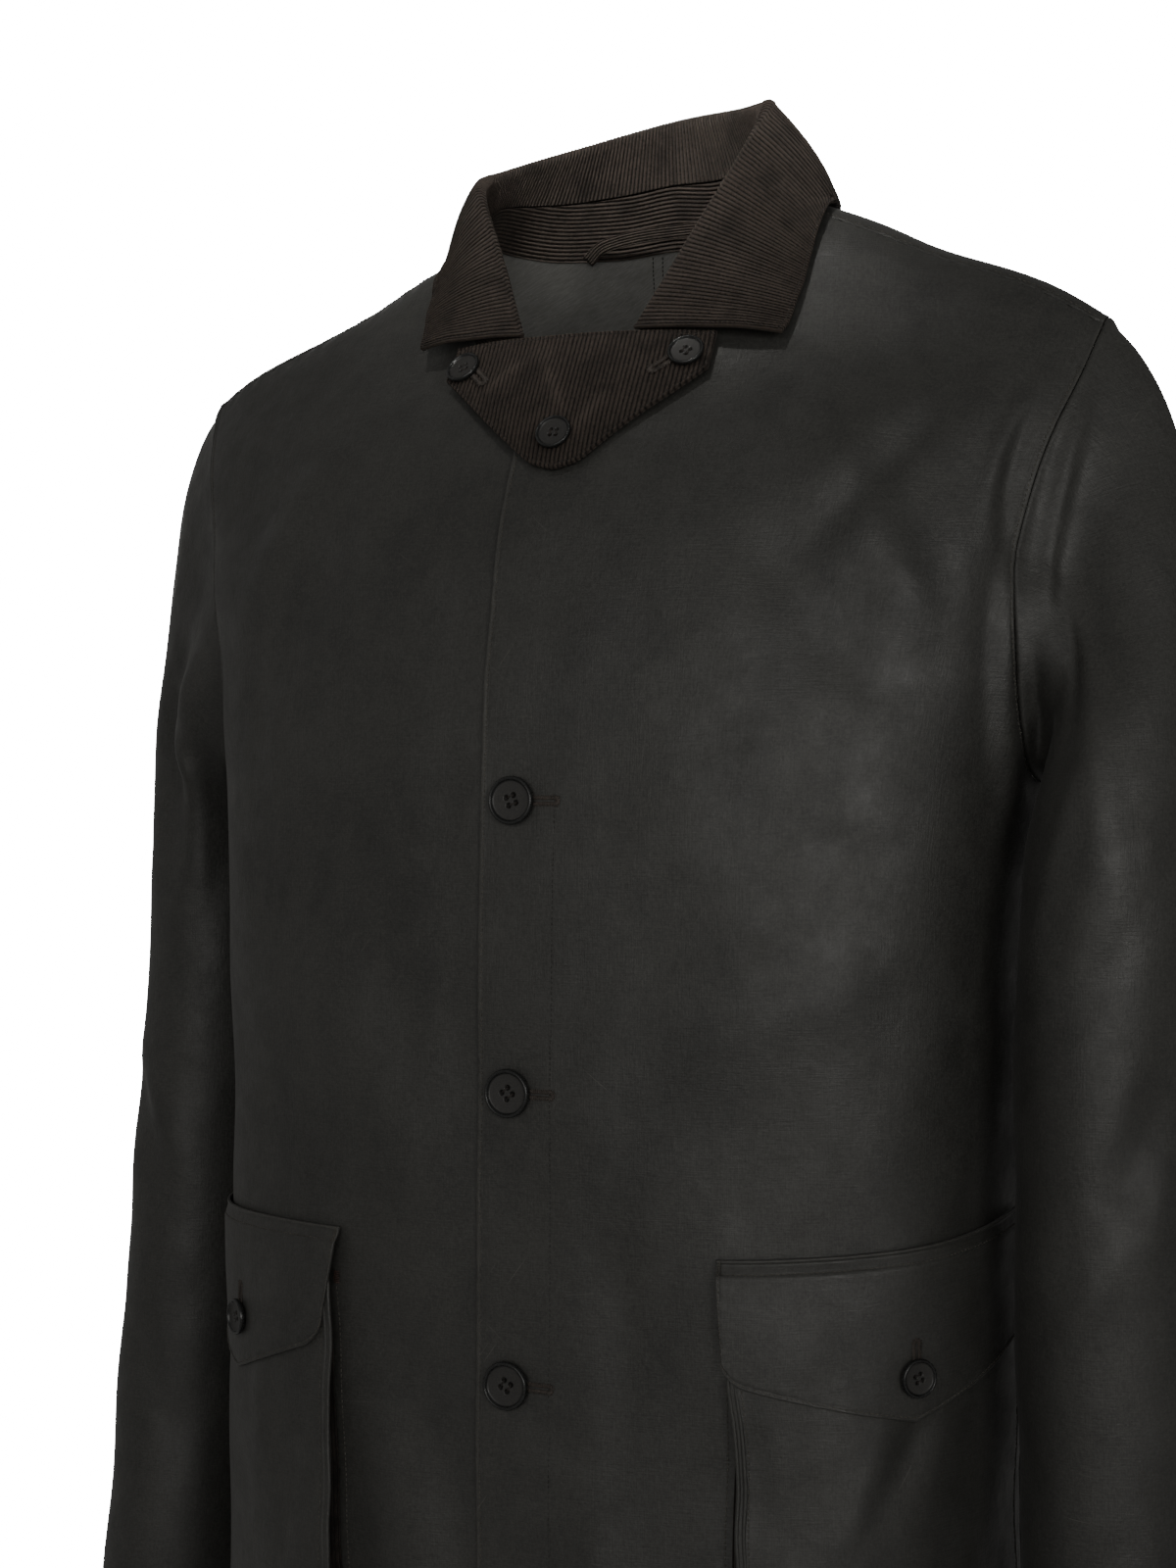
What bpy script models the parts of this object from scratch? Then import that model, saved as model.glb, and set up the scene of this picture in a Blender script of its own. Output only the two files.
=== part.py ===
"""A hip-length waxed cotton jacket, hollow, in the shape it has when worn.

Metres, +Z up. +X is the wearer's left and -Y the front. The origin lies on the
centre line at the base of the neck, between the shoulders that carry the jacket.
Every piece of cloth is a thin wall, cut and placed as a tailor would cut it.
"""
import math

import bpy
import numpy as np

# Cloth
CLOTH = 0.0012
CORDUROY = 0.0020
GAP = 0.0004
SEAM_TURN = 0.0017
HALF_TURN = math.pi / 2
SAMPLE_STEP = 1e-3
SOLVE_PASSES = 14

# Body, from the shoulders down. Squareness 2 is an ellipse, more is boxier.
HEM = -0.790
UNDERARM = -0.275
TORSO = (
    # height, half width, front depth, back depth, squareness
    (0.060, 0.262, 0.086, 0.092, 2.4),
    (0.000, 0.262, 0.087, 0.098, 2.4),
    (-0.055, 0.262, 0.090, 0.106, 2.5),
    (-0.106, 0.251, 0.116, 0.117, 2.6),
    (-0.150, 0.240, 0.127, 0.125, 2.6),
    (-0.200, 0.228, 0.133, 0.129, 2.6),
    (-0.275, 0.2150, 0.138, 0.130, 2.7),
    (-0.350, 0.2095, 0.141, 0.128, 2.8),
    (-0.450, 0.2070, 0.143, 0.126, 2.8),
    (-0.600, 0.2060, 0.144, 0.130, 2.8),
    (-0.790, 0.2080, 0.144, 0.136, 2.8),
)
HALF_WIDTH, FRONT_DEPTH, BACK_DEPTH, SQUARENESS = 1, 2, 3, 4
# Shoulder ridge, from the neck out. The falls are how far the front and the
# back take to turn from level to upright. The right shoulder is carried lower.
RIDGE = (
    # from centre, height, front fall, back fall
    (0.000, 0.044, 0.300, 0.140),
    (0.050, 0.032, 0.300, 0.140),
    (0.083, 0.020, 0.300, 0.140),
    (0.111, 0.0105, 0.300, 0.140),
    (0.178, -0.0185, 0.300, 0.140),
    (0.229, -0.039, 0.300, 0.140),
    (0.250, -0.052, 0.300, 0.140),
    (0.275, -0.072, 0.300, 0.140),
)
RIDGE_HEIGHT, FRONT_FALL, BACK_FALL = 1, 2, 3
LOW_SHOULDER = 0.018
LOW_REACH = 0.070
SHOULDER_SEAM = 0.122
FRONT, BACK = -1, 1

# Neckline
NECK_HALF_WIDTH = 0.083
NECK_FRONT = -0.071
NECK_TILT = 0.016
NECK_BACK = (
    # fraction, from centre, drop behind the ridge
    (0.00, 0.083, -0.122),
    (0.15, 0.0835, 0.000),
    (0.35, 0.078, 0.160),
    (0.55, 0.062, 0.300),
    (0.78, 0.034, 0.410),
    (1.00, 0.000, 0.455),
)

# Armhole, from the shoulder seam down to the underarm
ARMHOLE_FRONT = (
    # fraction, around, drop
    (0.00, 0.762, 0.122),
    (0.10, 0.742, 0.300),
    (0.22, 0.714, 0.445),
    (0.36, 0.712, 0.550),
    (0.49, 0.722, 0.638),
    (0.60, 0.742, 0.705),
    (0.74, 0.800, 0.785),
    (0.88, 0.895, 0.853),
    (1.00, 1.000, 0.877),
)
ARMHOLE_BACK = (
    # fraction, around, drop
    (0.00, 0.762, -0.122),
    (0.13, 0.768, 0.150),
    (0.28, 0.762, 0.450),
    (0.48, 0.758, 0.750),
    (0.66, 0.772, 0.960),
    (0.80, 0.825, 1.045),
    (0.91, 0.905, 1.088),
    (1.00, 1.000, 1.103),
)

# Front edges
LAP = 0.017
LAP_SHIFT = 0.0013
LAP_FADE = (0.024, 0.060)
LAP_CALM = (0.020, 0.050)

# Panels, in cells
FRONT_COLUMNS = 16
BACK_COLUMNS = 28
BEND_FADE = 3
NECK_ROWS = 8
NECK_COLUMNS = 5
ARMHOLE_ROWS = 12
SIDE_ROWS = 13
CHEST_LINE = -0.285

# Sleeves. The wall is a ring of cloth about an arm that hangs a little bent, the
# left one carried further forward than the right.
SLEEVE = (
    # height, left x, left y, right x, right y, half width, half depth
    (-0.312, 0.2625, -0.028, 0.2590, 0.040, 0.0450, 0.0660),
    (-0.400, 0.2610, -0.032, 0.2590, 0.034, 0.0460, 0.0650),
    (-0.500, 0.2630, -0.036, 0.2630, 0.024, 0.0470, 0.0620),
    (-0.600, 0.2660, -0.040, 0.2680, 0.016, 0.0460, 0.0580),
    (-0.745, 0.2730, -0.048, 0.2770, 0.003, 0.0435, 0.0525),
)
CUFF = {1: -0.732, -1: -0.745}
CENTRE_X = {1: 1, -1: 3}
CENTRE_Y = {1: 2, -1: 4}
SLEEVE_HALF_WIDTH, SLEEVE_HALF_DEPTH = 5, 6
SLEEVE_COLUMNS = 24
SLEEVE_HEAD_ROWS = 8
SLEEVE_ROWS = 11
SLEEVE_TWIST = {1: 20.0, -1: -22.0}
SLEEVE_ROUND = 0.057
HEAD_REACH = (0.055, 0.030)
HEAD_SETTLE = 0.110
HEAD_SHARE = 0.45
HEAD_DROOP = 0.30
HEAD_TUCK = 0.75
UNDERARM_FROM = 1 / 3
SEAM_ROWS = 3
SEAM_LIP = 0.0018
SLEEVE_CLEAR = 0.0016

# Large folds of the body: a soft ridge (positive) or trough (negative) along a
# line on the face, seen square on. Hand is 1 on the wearer's left, -1 on the right.
FOLD_FADE = (2.5, 0.2)
BODY_FOLDS = (
    # face, hand, x from, z from, x to, z to, half width, height
    (FRONT, 1, 0.190, -0.215, 0.135, -0.105, 0.013, 0.0050),
    (FRONT, 1, 0.165, -0.235, 0.105, -0.150, 0.016, -0.0040),
    (FRONT, 1, 0.150, -0.300, 0.085, -0.420, 0.026, 0.0035),
    (FRONT, 1, 0.035, -0.580, 0.055, -0.740, 0.022, 0.0040),
    (FRONT, -1, -0.185, -0.210, -0.130, -0.110, 0.014, 0.0040),
    (FRONT, -1, -0.160, -0.240, -0.110, -0.160, 0.016, -0.0035),
    (FRONT, -1, -0.120, -0.330, -0.060, -0.470, 0.026, 0.0035),
    (FRONT, -1, -0.040, -0.580, -0.058, -0.750, 0.022, 0.0045),
    (BACK, 1, 0.185, -0.225, 0.120, -0.115, 0.015, 0.0050),
    (BACK, -1, -0.185, -0.220, -0.115, -0.120, 0.015, 0.0045),
    (BACK, 1, 0.090, -0.300, 0.070, -0.640, 0.030, 0.0060),
    (BACK, -1, -0.080, -0.280, -0.100, -0.600, 0.030, 0.0055),
    (BACK, 1, 0.020, -0.420, 0.010, -0.760, 0.026, -0.0050),
)
# Large folds of the sleeves, along a line from one angle and height to another.
# Angle 0 is the outer side, 90 the front, 180 the side that faces the body.
SLEEVE_FOLDS = (
    # hand, angle from, z from, angle to, z to, half width, height
    (1, 100.0, -0.160, 78.0, -0.330, 0.012, 0.0060),
    (1, 125.0, -0.230, 105.0, -0.380, 0.014, -0.0045),
    (1, 40.0, -0.400, 80.0, -0.470, 0.014, -0.0040),
    (1, 300.0, -0.200, 270.0, -0.350, 0.016, 0.0050),
    (-1, 60.0, -0.200, 90.0, -0.340, 0.014, -0.0055),
    (-1, 110.0, -0.180, 95.0, -0.360, 0.014, 0.0050),
    (-1, 45.0, -0.430, 85.0, -0.500, 0.014, -0.0040),
    (-1, 290.0, -0.220, 265.0, -0.370, 0.016, 0.0050),
)

# Collar, a station for each place along it, from the right front end (-1)
# over the centre back (0) to the left front end (1)
COLLAR = (
    # station, fold x, y, z, edge x, y, z
    (-1.00, -0.0318, -0.0650, -0.0520, -0.0877, -0.0660, -0.0570),
    (-0.88, -0.0500, -0.0510, -0.0120, -0.0920, -0.0480, -0.0330),
    (-0.74, -0.0695, -0.0360, 0.0260, -0.0945, -0.0240, -0.0100),
    (-0.62, -0.0770, -0.0190, 0.0370, -0.0960, -0.0010, 0.0045),
    (-0.46, -0.0760, 0.0040, 0.0455, -0.0950, 0.0260, 0.0030),
    (-0.22, -0.0470, 0.0430, 0.0635, -0.0620, 0.0660, 0.0040),
    (0.00, 0.0000, 0.0580, 0.0760, 0.0000, 0.0810, 0.0080),
    (0.22, 0.0390, 0.0470, 0.0760, 0.0590, 0.0690, 0.0090),
    (0.46, 0.0680, 0.0110, 0.0690, 0.1010, 0.0290, 0.0140),
    (0.62, 0.0805, -0.0180, 0.0595, 0.1110, 0.0010, 0.0150),
    (0.74, 0.0715, -0.0350, 0.0310, 0.1120, -0.0240, -0.0080),
    (0.88, 0.0510, -0.0510, -0.0120, 0.1110, -0.0480, -0.0360),
    (1.00, 0.0318, -0.0650, -0.0520, 0.1075, -0.0660, -0.0600),
)
FOLD_X, FOLD_Y, FOLD_Z, EDGE_X, EDGE_Y, EDGE_Z = 1, 2, 3, 4, 5, 6
SEAM_STATION = 0.45
COLLAR_FRONT_X = 0.032
LEAF_BULGE = 0.0035
LEAF_FREE = (0.48, 0.64)
LEAF_REST = (0.0030, 0.0032)
COLLAR_COLUMNS = 26
STAND_ROWS = 2
BAND_ROWS = 2
LEAF_ROWS = 3
BAND_SEAM = 0.52
BAND_GAP = 0.0010
STAND_CLEAR = 0.0010
FOLD_RADIUS = 0.0026

# Throat tab, seen square on: from centre, then the heights of its edges
TAB_CENTRE = 0.0035
TAB_HALF_WIDTH = 0.0695
TAB_TIP_X = 0.008
TAB_TIP_HALF = 0.013
TAB_TOP = (-0.0570, -0.0600)
TAB_END = -0.0780
TAB_TIP = -0.1265
TAB_TIP_ROUND = 0.0035
TAB_COLUMNS = 12
TAB_ROWS = 4
TAB_LIFT = (0.0044, 0.0034)

# Patch pockets, along the body's girth from the centre front
GIRTH_HEIGHT = -0.600
GIRTH_SAMPLES = 181
PANEL_SHIFT = {1: 0.0040, -1: -0.0040}
FLAP_START = 0.0980
FLAP_WIDTH = 0.180
FLAP_TOP = (-0.4900, -0.4760)
FLAP_END = 0.0550
FLAP_POINT = 0.0240
FLAP_TIP = {1: 0.50, -1: 0.40}
FLAP_TOP_CURVE = 1.5
FLAP_CORNER = (0.10, 0.0120)
FLAP_ROWS = 3
POCKET_START = 0.1040
POCKET_WIDTH = 0.169
POCKET_TOP = -0.5000
POCKET_BOTTOM = -0.7200
POCKET_COLUMNS = 8
POCKET_ROWS = 6
POCKET_FLAT = 0.0016
POCKET_FULL = {1: (0.25, 0.90), -1: (0.00, 0.60)}
POCKET_SWELL = {1: 0.0110, -1: 0.0140}
POCKET_TOP_SHARE = 0.12
POCKET_CURVE = 0.8
POCKET_EDGE = 0.0030
GUSSET_TOP = -0.515
GUSSET_END = {1: 0.60, -1: 0.36}
GUSSET_LEAN = 0.0060
GUSSET_SEAT = 0.0012
GUSSET_CLEAR = 0.0005
FLAP_CLEAR = 0.0007
FLAP_HINGE = 0.009
FLAP_HINGE_SHARE = 0.16

# Hanger loop, inside the back neck
LOOP_PATH = (
    # x, y, z
    (-0.0481, 0.0492, 0.0040),
    (-0.0395, 0.0492, 0.0110),
    (-0.0220, 0.0508, 0.0150),
    (0.0000, 0.0514, 0.0165),
    (0.0220, 0.0506, 0.0165),
    (0.0385, 0.0484, 0.0145),
    (0.0470, 0.0480, 0.0090),
)
LOOP_WIDTH = 0.0070
LOOP_CLOTH = 0.0018

# Buttons
BUTTON_SEGMENTS = 16
FRONT_BUTTON = 0.0230
SMALL_BUTTON = 0.0180
BUTTON_DEPTH = 0.17
FRONT_BUTTON_HEIGHTS = (-0.282, -0.419, -0.556, -0.693)
BUTTON_PROFILE = (
    # radius, height, as shares of the button's radius and depth
    (0.00, 0.00),
    (0.86, 0.00),
    (1.00, 0.45),
    (0.94, 0.95),
    (0.80, 1.00),
    (0.70, 0.62),
    (0.00, 0.55),
)
BUTTON_CLEARANCE = 0.0006
TAB_BUTTONS = (
    # x, height
    (-0.0565, -0.0730),
    (0.0610, -0.0712),
    (0.0056, -0.1095),
)
POCKET_BUTTON_HEIGHT = -0.5440

# Colours: red, green, blue, then roughness
WAXED_COTTON = (0.020, 0.020, 0.018, 0.55)
CORDUROY_COLOUR = (0.018, 0.012, 0.010, 0.90)
GUSSET_COLOUR = (0.012, 0.009, 0.007, 0.92)
HORN = (0.010, 0.010, 0.010, 0.28)


def smooth(table, column, at):
    """A column of a table at a value of its first column, on a smooth curve."""
    rows = np.array(sorted(table))
    knots, values = rows[:, 0], rows[:, column]
    slopes = np.gradient(values, knots)
    at = np.clip(at, knots[0], knots[-1])
    index = np.clip(np.searchsorted(knots, at) - 1, 0, len(knots) - 2)
    span = knots[index + 1] - knots[index]
    t = (at - knots[index]) / span
    rise = values[index] * (1 + 2 * t) * (1 - t) ** 2
    rise += values[index + 1] * t * t * (3 - 2 * t)
    rise += span * t * (1 - t) * (slopes[index] * (1 - t) - slopes[index + 1] * t)
    return rise


def ease(value):
    """0 below 0, 1 above 1 and a soft S between."""
    value = np.clip(value, 0, 1)
    return value * value * (3 - 2 * value)


def unit(vectors):
    length = np.linalg.norm(vectors, axis=-1, keepdims=True)
    return vectors / np.maximum(length, 1e-12)


def signed_power(value, power):
    return np.sign(value) * np.abs(value) ** power


def section(around, height):
    """Half-width and depth share of the body at an angle around it."""
    power = 2 / smooth(TORSO, SQUARENESS, height)
    width = smooth(TORSO, HALF_WIDTH, height)
    x = width * signed_power(np.sin(around * HALF_TURN), power)
    return x, signed_power(np.cos(around * HALF_TURN), power)


def low_shoulder(x, drop):
    """How much lower the right shoulder is carried."""
    reach = 1 - np.exp(-(np.minimum(x, 0) / LOW_REACH) ** 2)
    return LOW_SHOULDER * reach * (1 - ease(drop))


def by_face(table, front_column, back_column, face, at):
    front = smooth(table, front_column, at)
    return np.where(face == FRONT, front, smooth(table, back_column, at))


def bare_torso(around, drop, face):
    """The unfolded body: around is 0 at the centre and 1 at the side seam; drop
    is 0 on the shoulder ridge, 1 where the cloth hangs, then metres below that.
    A drop below 0 lies on the other face."""
    around, drop = np.broadcast_arrays(np.asarray(around, float), np.asarray(drop, float))
    face = np.where(drop < 0, -face, face)
    depth_drop = np.abs(drop)
    turn = np.minimum(depth_drop, 1) * HALF_TURN
    height = np.full(around.shape, UNDERARM)
    for _ in range(SOLVE_PASSES):
        x, share = section(around, height)
        fall = by_face(RIDGE, FRONT_FALL, BACK_FALL, face, np.abs(x))
        height = smooth(RIDGE, RIDGE_HEIGHT, np.abs(x)) - fall * (1 - np.cos(turn))
        height = height - low_shoulder(x, depth_drop)
        height = height - np.maximum(depth_drop - 1, 0)
    depth = by_face(TORSO, FRONT_DEPTH, BACK_DEPTH, face, height)
    return np.stack([x, face * depth * share * np.sin(turn), height], axis=-1)


def along_fold(x, z, row):
    """How strongly a fold's line is felt at a point, 0 to 1."""
    start, end = np.array(row[0:2]), np.array(row[2:4])
    run = end - start
    length = np.hypot(*run)
    share = ((x - start[0]) * run[0] + (z - start[1]) * run[1]) / length ** 2
    off = ((x - start[0]) * run[1] - (z - start[1]) * run[0]) / length
    beyond = np.maximum(np.maximum(-share, share - 1), 0) * length
    rate, start_fade = FOLD_FADE
    fade = ease(share * rate + start_fade) * ease((1 - share) * rate + start_fade)
    return np.exp(-(off ** 2 + beyond ** 2) / row[4] ** 2) * fade


def body_relief(point, face):
    x, z = point[..., 0], point[..., 2]
    total = np.zeros(x.shape)
    for fold_face, _, *line, height in BODY_FOLDS:
        if fold_face == face:
            total += height * along_fold(x, z, line)
    calm = ease((np.abs(x) - LAP_CALM[0]) / (LAP_CALM[1] - LAP_CALM[0]))
    return np.where(face == FRONT, total * calm, total)


def torso(around, drop, face, lift=0.0):
    """A point of the body's outer face, moved out by its folds and by lift, and
    the direction out of the cloth there."""
    step = SAMPLE_STEP
    point = bare_torso(around, drop, face)
    across = bare_torso(around + step, drop, face) - bare_torso(around - step, drop, face)
    down = bare_torso(around, drop + step, face) - bare_torso(around, drop - step, face)
    out = face * unit(np.cross(across, down))
    relief = body_relief(point, face)
    return point + out * (relief + lift)[..., None], out


def around_at(x, height):
    """The angle around the body at which it has a given x."""
    width = smooth(TORSO, HALF_WIDTH, height)
    share = np.clip(np.abs(x) / width, 0, 1) ** (smooth(TORSO, SQUARENESS, height) / 2)
    return np.sign(x) * np.arcsin(share) / HALF_TURN


def drop_at(x, height, face):
    """The drop below the ridge at which the body has a given x and height."""
    fall = by_face(RIDGE, FRONT_FALL, BACK_FALL, face, np.abs(x))
    drop = np.full(np.broadcast(x, height).shape, 0.5)
    for _ in range(SOLVE_PASSES):
        ridge = smooth(RIDGE, RIDGE_HEIGHT, np.abs(x)) - low_shoulder(x, drop)
        share = (ridge - height) / fall
        turned = np.arccos(np.clip(1 - share, -1, 1)) / HALF_TURN
        drop = np.where(share < 1, turned, 1 + (share - 1) * fall)
    return drop


def on_face(x, height, face, lift=0.0):
    """A point of the body's outer face given by x and height."""
    lift = np.broadcast_to(np.asarray(lift, float), np.broadcast(x, height).shape)
    return torso(around_at(x, height), drop_at(x, height, face), face, lift)


def blend_patch(top, bottom, left, right, rows_share):
    """A grid between four edges, each a list of (around, drop)."""
    across = np.linspace(0, 1, len(top))[None, :, None]
    down = np.asarray(rows_share)[:, None, None]
    top_bend = top - ((1 - across) * top[0] + across * top[-1])
    bottom_bend = bottom - ((1 - across) * bottom[0] + across * bottom[-1])
    grid = (1 - across) * left[:, None] + across * right[:, None]
    return grid + (1 - down) ** BEND_FADE * top_bend + down ** BEND_FADE * bottom_bend


def side_edge(face):
    """The armhole, then the side seam, as (around, drop) down one edge."""
    table = ARMHOLE_FRONT if face == FRONT else ARMHOLE_BACK
    share = np.linspace(0, 1, ARMHOLE_ROWS + 1)
    around, drop = smooth(table, 1, share), smooth(table, 2, share)
    drop[0] += SEAM_TURN
    height = np.linspace(UNDERARM, HEM, SIDE_ROWS + 1)
    depth = by_face(TORSO, FRONT_DEPTH, BACK_DEPTH, face, height)
    power = 2 / smooth(TORSO, SQUARENESS, height)
    edge = np.arccos((GAP / 2 / depth) ** (1 / power)) / HALF_TURN
    x, _ = section(edge, height)
    around[-1] = edge[0]
    seam = np.stack([edge, drop_at(x, height, face)], axis=-1)
    seam[0, 1] = drop[-1]
    return np.vstack([np.stack([around, drop], axis=-1), seam[1:]])


def neck_curve(turn):
    """The front neckline, a quarter of an ellipse that tips down: x and height."""
    top = smooth(RIDGE, RIDGE_HEIGHT, NECK_HALF_WIDTH)
    top = top - smooth(RIDGE, FRONT_FALL, NECK_HALF_WIDTH) * (1 - math.cos(SHOULDER_SEAM * HALF_TURN))
    x = NECK_HALF_WIDTH * np.cos(turn)
    height = top - (top - NECK_FRONT) * np.sin(np.minimum(turn, HALF_TURN))
    return x, height - NECK_TILT * (NECK_HALF_WIDTH - x) / (NECK_HALF_WIDTH + LAP)


def front_edge(lap):
    """The neckline, then the front edge, which passes the centre by lap."""
    x, height = neck_curve(np.linspace(0, math.acos(-lap / NECK_HALF_WIDTH), NECK_ROWS + 1))
    above = np.linspace(height[-1], CHEST_LINE, ARMHOLE_ROWS - NECK_ROWS + 1)[1:]
    below = np.append(above, np.linspace(CHEST_LINE, HEM, SIDE_ROWS + 1)[1:])
    x = np.append(x, np.full(len(below), -lap))
    height = np.append(height, below)
    drop = drop_at(x, height, FRONT)
    drop[0] = SHOULDER_SEAM + SEAM_TURN
    return np.stack([around_at(x, height), drop], axis=-1)


def back_neck_edge(columns):
    """The back neckline as (around, drop), from the centre out to the seam."""
    share = np.linspace(1, 0, columns + 1)
    x, drop = smooth(NECK_BACK, 1, share), smooth(NECK_BACK, 2, share)
    drop[-1] += SEAM_TURN
    height = bare_torso(around_at(x, 0.0), drop, BACK)[..., 2]
    return np.stack([around_at(x, height), drop], axis=-1)


def seam_points(columns, face):
    """The shoulder seam as (around, drop), from the neck out to the shoulder."""
    drop = SHOULDER_SEAM + SEAM_TURN if face == FRONT else -SHOULDER_SEAM + SEAM_TURN
    start = around_at(NECK_HALF_WIDTH, smooth(RIDGE, RIDGE_HEIGHT, NECK_HALF_WIDTH))
    around = np.linspace(start, ARMHOLE_FRONT[0][1], columns + 1)
    return np.stack([around, np.full(columns + 1, drop)], axis=-1)


def hem_points(around_from, around_to, columns, face):
    around = np.linspace(around_from, around_to, columns + 1)
    x, _ = section(around, HEM)
    return np.stack([around, drop_at(x, HEM, face)], axis=-1)


def row_shares(left, right):
    """How far down each row lies, as a share of both edges' mean length."""
    share = 0
    for edge in (left, right):
        steps = np.linalg.norm(np.diff(edge, axis=0), axis=1)
        share = share + np.append(0, np.cumsum(steps)) / steps.sum() / 2
    return share


def wall(name, outer, inner, wrap=False):
    """A closed wall between two grids of points of the same size."""
    rows, columns = outer.shape[:2]
    points = np.vstack([outer.reshape(-1, 3), inner.reshape(-1, 3)])
    behind = rows * columns
    last = columns if wrap else columns - 1
    faces = []
    for i in range(rows - 1):
        for j in range(last):
            k = (j + 1) % columns
            a, b = i * columns + j, i * columns + k
            c, d = b + columns, a + columns
            faces += [(a, b, c), (a, c, d)]
            faces += [(behind + c, behind + b, behind + a), (behind + d, behind + c, behind + a)]
    rims = [[(0, j) for j in range(columns)], [(rows - 1, j) for j in range(columns)][::-1]]
    if wrap:
        rims = [rim + rim[:1] for rim in rims]
    else:
        right = [(i, columns - 1) for i in range(rows)]
        left = [(i, 0) for i in range(rows)][::-1]
        rims += [right, left]
    for rim in rims:
        for (i, j), (m, n) in zip(rim, rim[1:]):
            a, b = i * columns + j, m * columns + n
            faces += [(b, a, behind + a), (b, behind + a, behind + b)]
    return solid(name, points, faces)


def solid(name, points, faces):
    """An object from points and triangles, its faces turned outward."""
    corners = points[np.array(faces)]
    volume = np.einsum("ij,ij->i", corners[:, 0], np.cross(corners[:, 1], corners[:, 2])).sum()
    if volume < 0:
        faces = [face[::-1] for face in faces]
    mesh = bpy.data.meshes.new(name)
    mesh.from_pydata([tuple(point) for point in points], [], faces)
    mesh.update()
    item = bpy.data.objects.new(name, mesh)
    bpy.context.scene.collection.objects.link(item)
    return item


def finish(item, colour):
    red, green, blue, roughness = colour
    material = bpy.data.materials.new(item.name)
    material.use_nodes = True
    shader = material.node_tree.nodes["Principled BSDF"]
    shader.inputs["Base Color"].default_value = (red, green, blue, 1)
    shader.inputs["Roughness"].default_value = roughness
    shader.inputs["Metallic"].default_value = 0.0
    item.data.materials.append(material)
    item.data.shade_smooth()


def mirrored(points, hand):
    return points * np.array([hand, 1, 1])


def lap_lift(x, hand):
    """The front edges lie on each other: the left one is lifted, the right sunk."""
    share = 1 - ease((hand * x - LAP_FADE[0]) / (LAP_FADE[1] - LAP_FADE[0]))
    return hand * LAP_SHIFT * share


def make_front(name, hand):
    left = front_edge(LAP)
    right = side_edge(FRONT)
    top = seam_points(FRONT_COLUMNS, FRONT)
    top[0], top[-1] = left[0], right[0]
    bottom = hem_points(left[-1, 0], right[-1, 0], FRONT_COLUMNS, FRONT)
    grid = blend_patch(top, bottom, left, right, row_shares(left, right))
    around, drop = hand * grid[..., 0], grid[..., 1]
    plain = bare_torso(around, drop, FRONT)
    outer, out = torso(around, drop, FRONT, lap_lift(plain[..., 0], hand))
    finish(wall(name, outer, outer - CLOTH * out), WAXED_COTTON)


def make_back_panel():
    """One piece from side to side. Its rows run from armhole to armhole, and the
    neckline is the dip in the middle of its top edge."""
    half = BACK_COLUMNS // 2
    seam_columns = half - NECK_COLUMNS
    neck = back_neck_edge(NECK_COLUMNS)
    seam = seam_points(seam_columns, BACK)
    top = np.vstack([neck, seam[1:]])
    right = side_edge(BACK)
    top[-1] = right[0]
    bottom = hem_points(0.0, right[-1, 0], half, BACK)
    chest = drop_at(np.zeros(1), CHEST_LINE, BACK)[0]
    drop = np.linspace(top[0, 1], chest, ARMHOLE_ROWS + 1)
    drop = np.append(drop, np.linspace(chest, bottom[0, 1], SIDE_ROWS + 1)[1:])
    left = np.stack([np.zeros(len(drop)), drop], axis=-1)
    grid = blend_patch(top, bottom, left, right, row_shares(left, right))
    grid = np.concatenate([grid[:, :0:-1] * np.array([-1, 1]), grid], axis=1)
    outer, out = torso(grid[..., 0], grid[..., 1], BACK)
    finish(wall("back", outer, outer - CLOTH * out), WAXED_COTTON)


def armhole_ring(columns, hand):
    """Points of an armhole, the direction out of the cloth, and the way across
    the seam, from the shoulder down the front and up the back. The right one is
    given mirrored, as if it were a left one."""
    share = np.arange(columns) / columns * 2
    in_front = share <= 1
    fraction = np.where(in_front, share, 2 - share)
    points, outs = [], []
    for step in (-SAMPLE_STEP, 0, SAMPLE_STEP):
        at = np.clip(fraction + np.where(in_front, step, -step), 0, 1)
        front = torso(hand * smooth(ARMHOLE_FRONT, 1, at), smooth(ARMHOLE_FRONT, 2, at), FRONT)
        back = torso(hand * smooth(ARMHOLE_BACK, 1, at), smooth(ARMHOLE_BACK, 2, at), BACK)
        points.append(mirrored(np.where(in_front[:, None], front[0], back[0]), hand))
        outs.append(mirrored(np.where(in_front[:, None], front[1], back[1]), hand))
    along = unit(points[2] - points[0])
    return points[1], outs[1], unit(np.cross(outs[1], along))


def sleeve_relief(angle, height, hand):
    total = np.zeros(np.broadcast(angle, height).shape)
    for fold_hand, angle_from, z_from, angle_to, z_to, half_width, rise in SLEEVE_FOLDS:
        if fold_hand != hand:
            continue
        middle = (angle_from + angle_to) / 2
        turned = (angle - middle + 180) % 360 - 180
        x = np.radians(turned) * SLEEVE_ROUND
        reach = math.radians(angle_to - angle_from) / 2 * SLEEVE_ROUND
        total += rise * along_fold(x, height, (-reach, z_from, reach, z_to, half_width))
    return total


def tube_normal(points):
    around = np.roll(points, -1, axis=1) - np.roll(points, 1, axis=1)
    return unit(np.cross(around, np.gradient(points, axis=0)))


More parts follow.
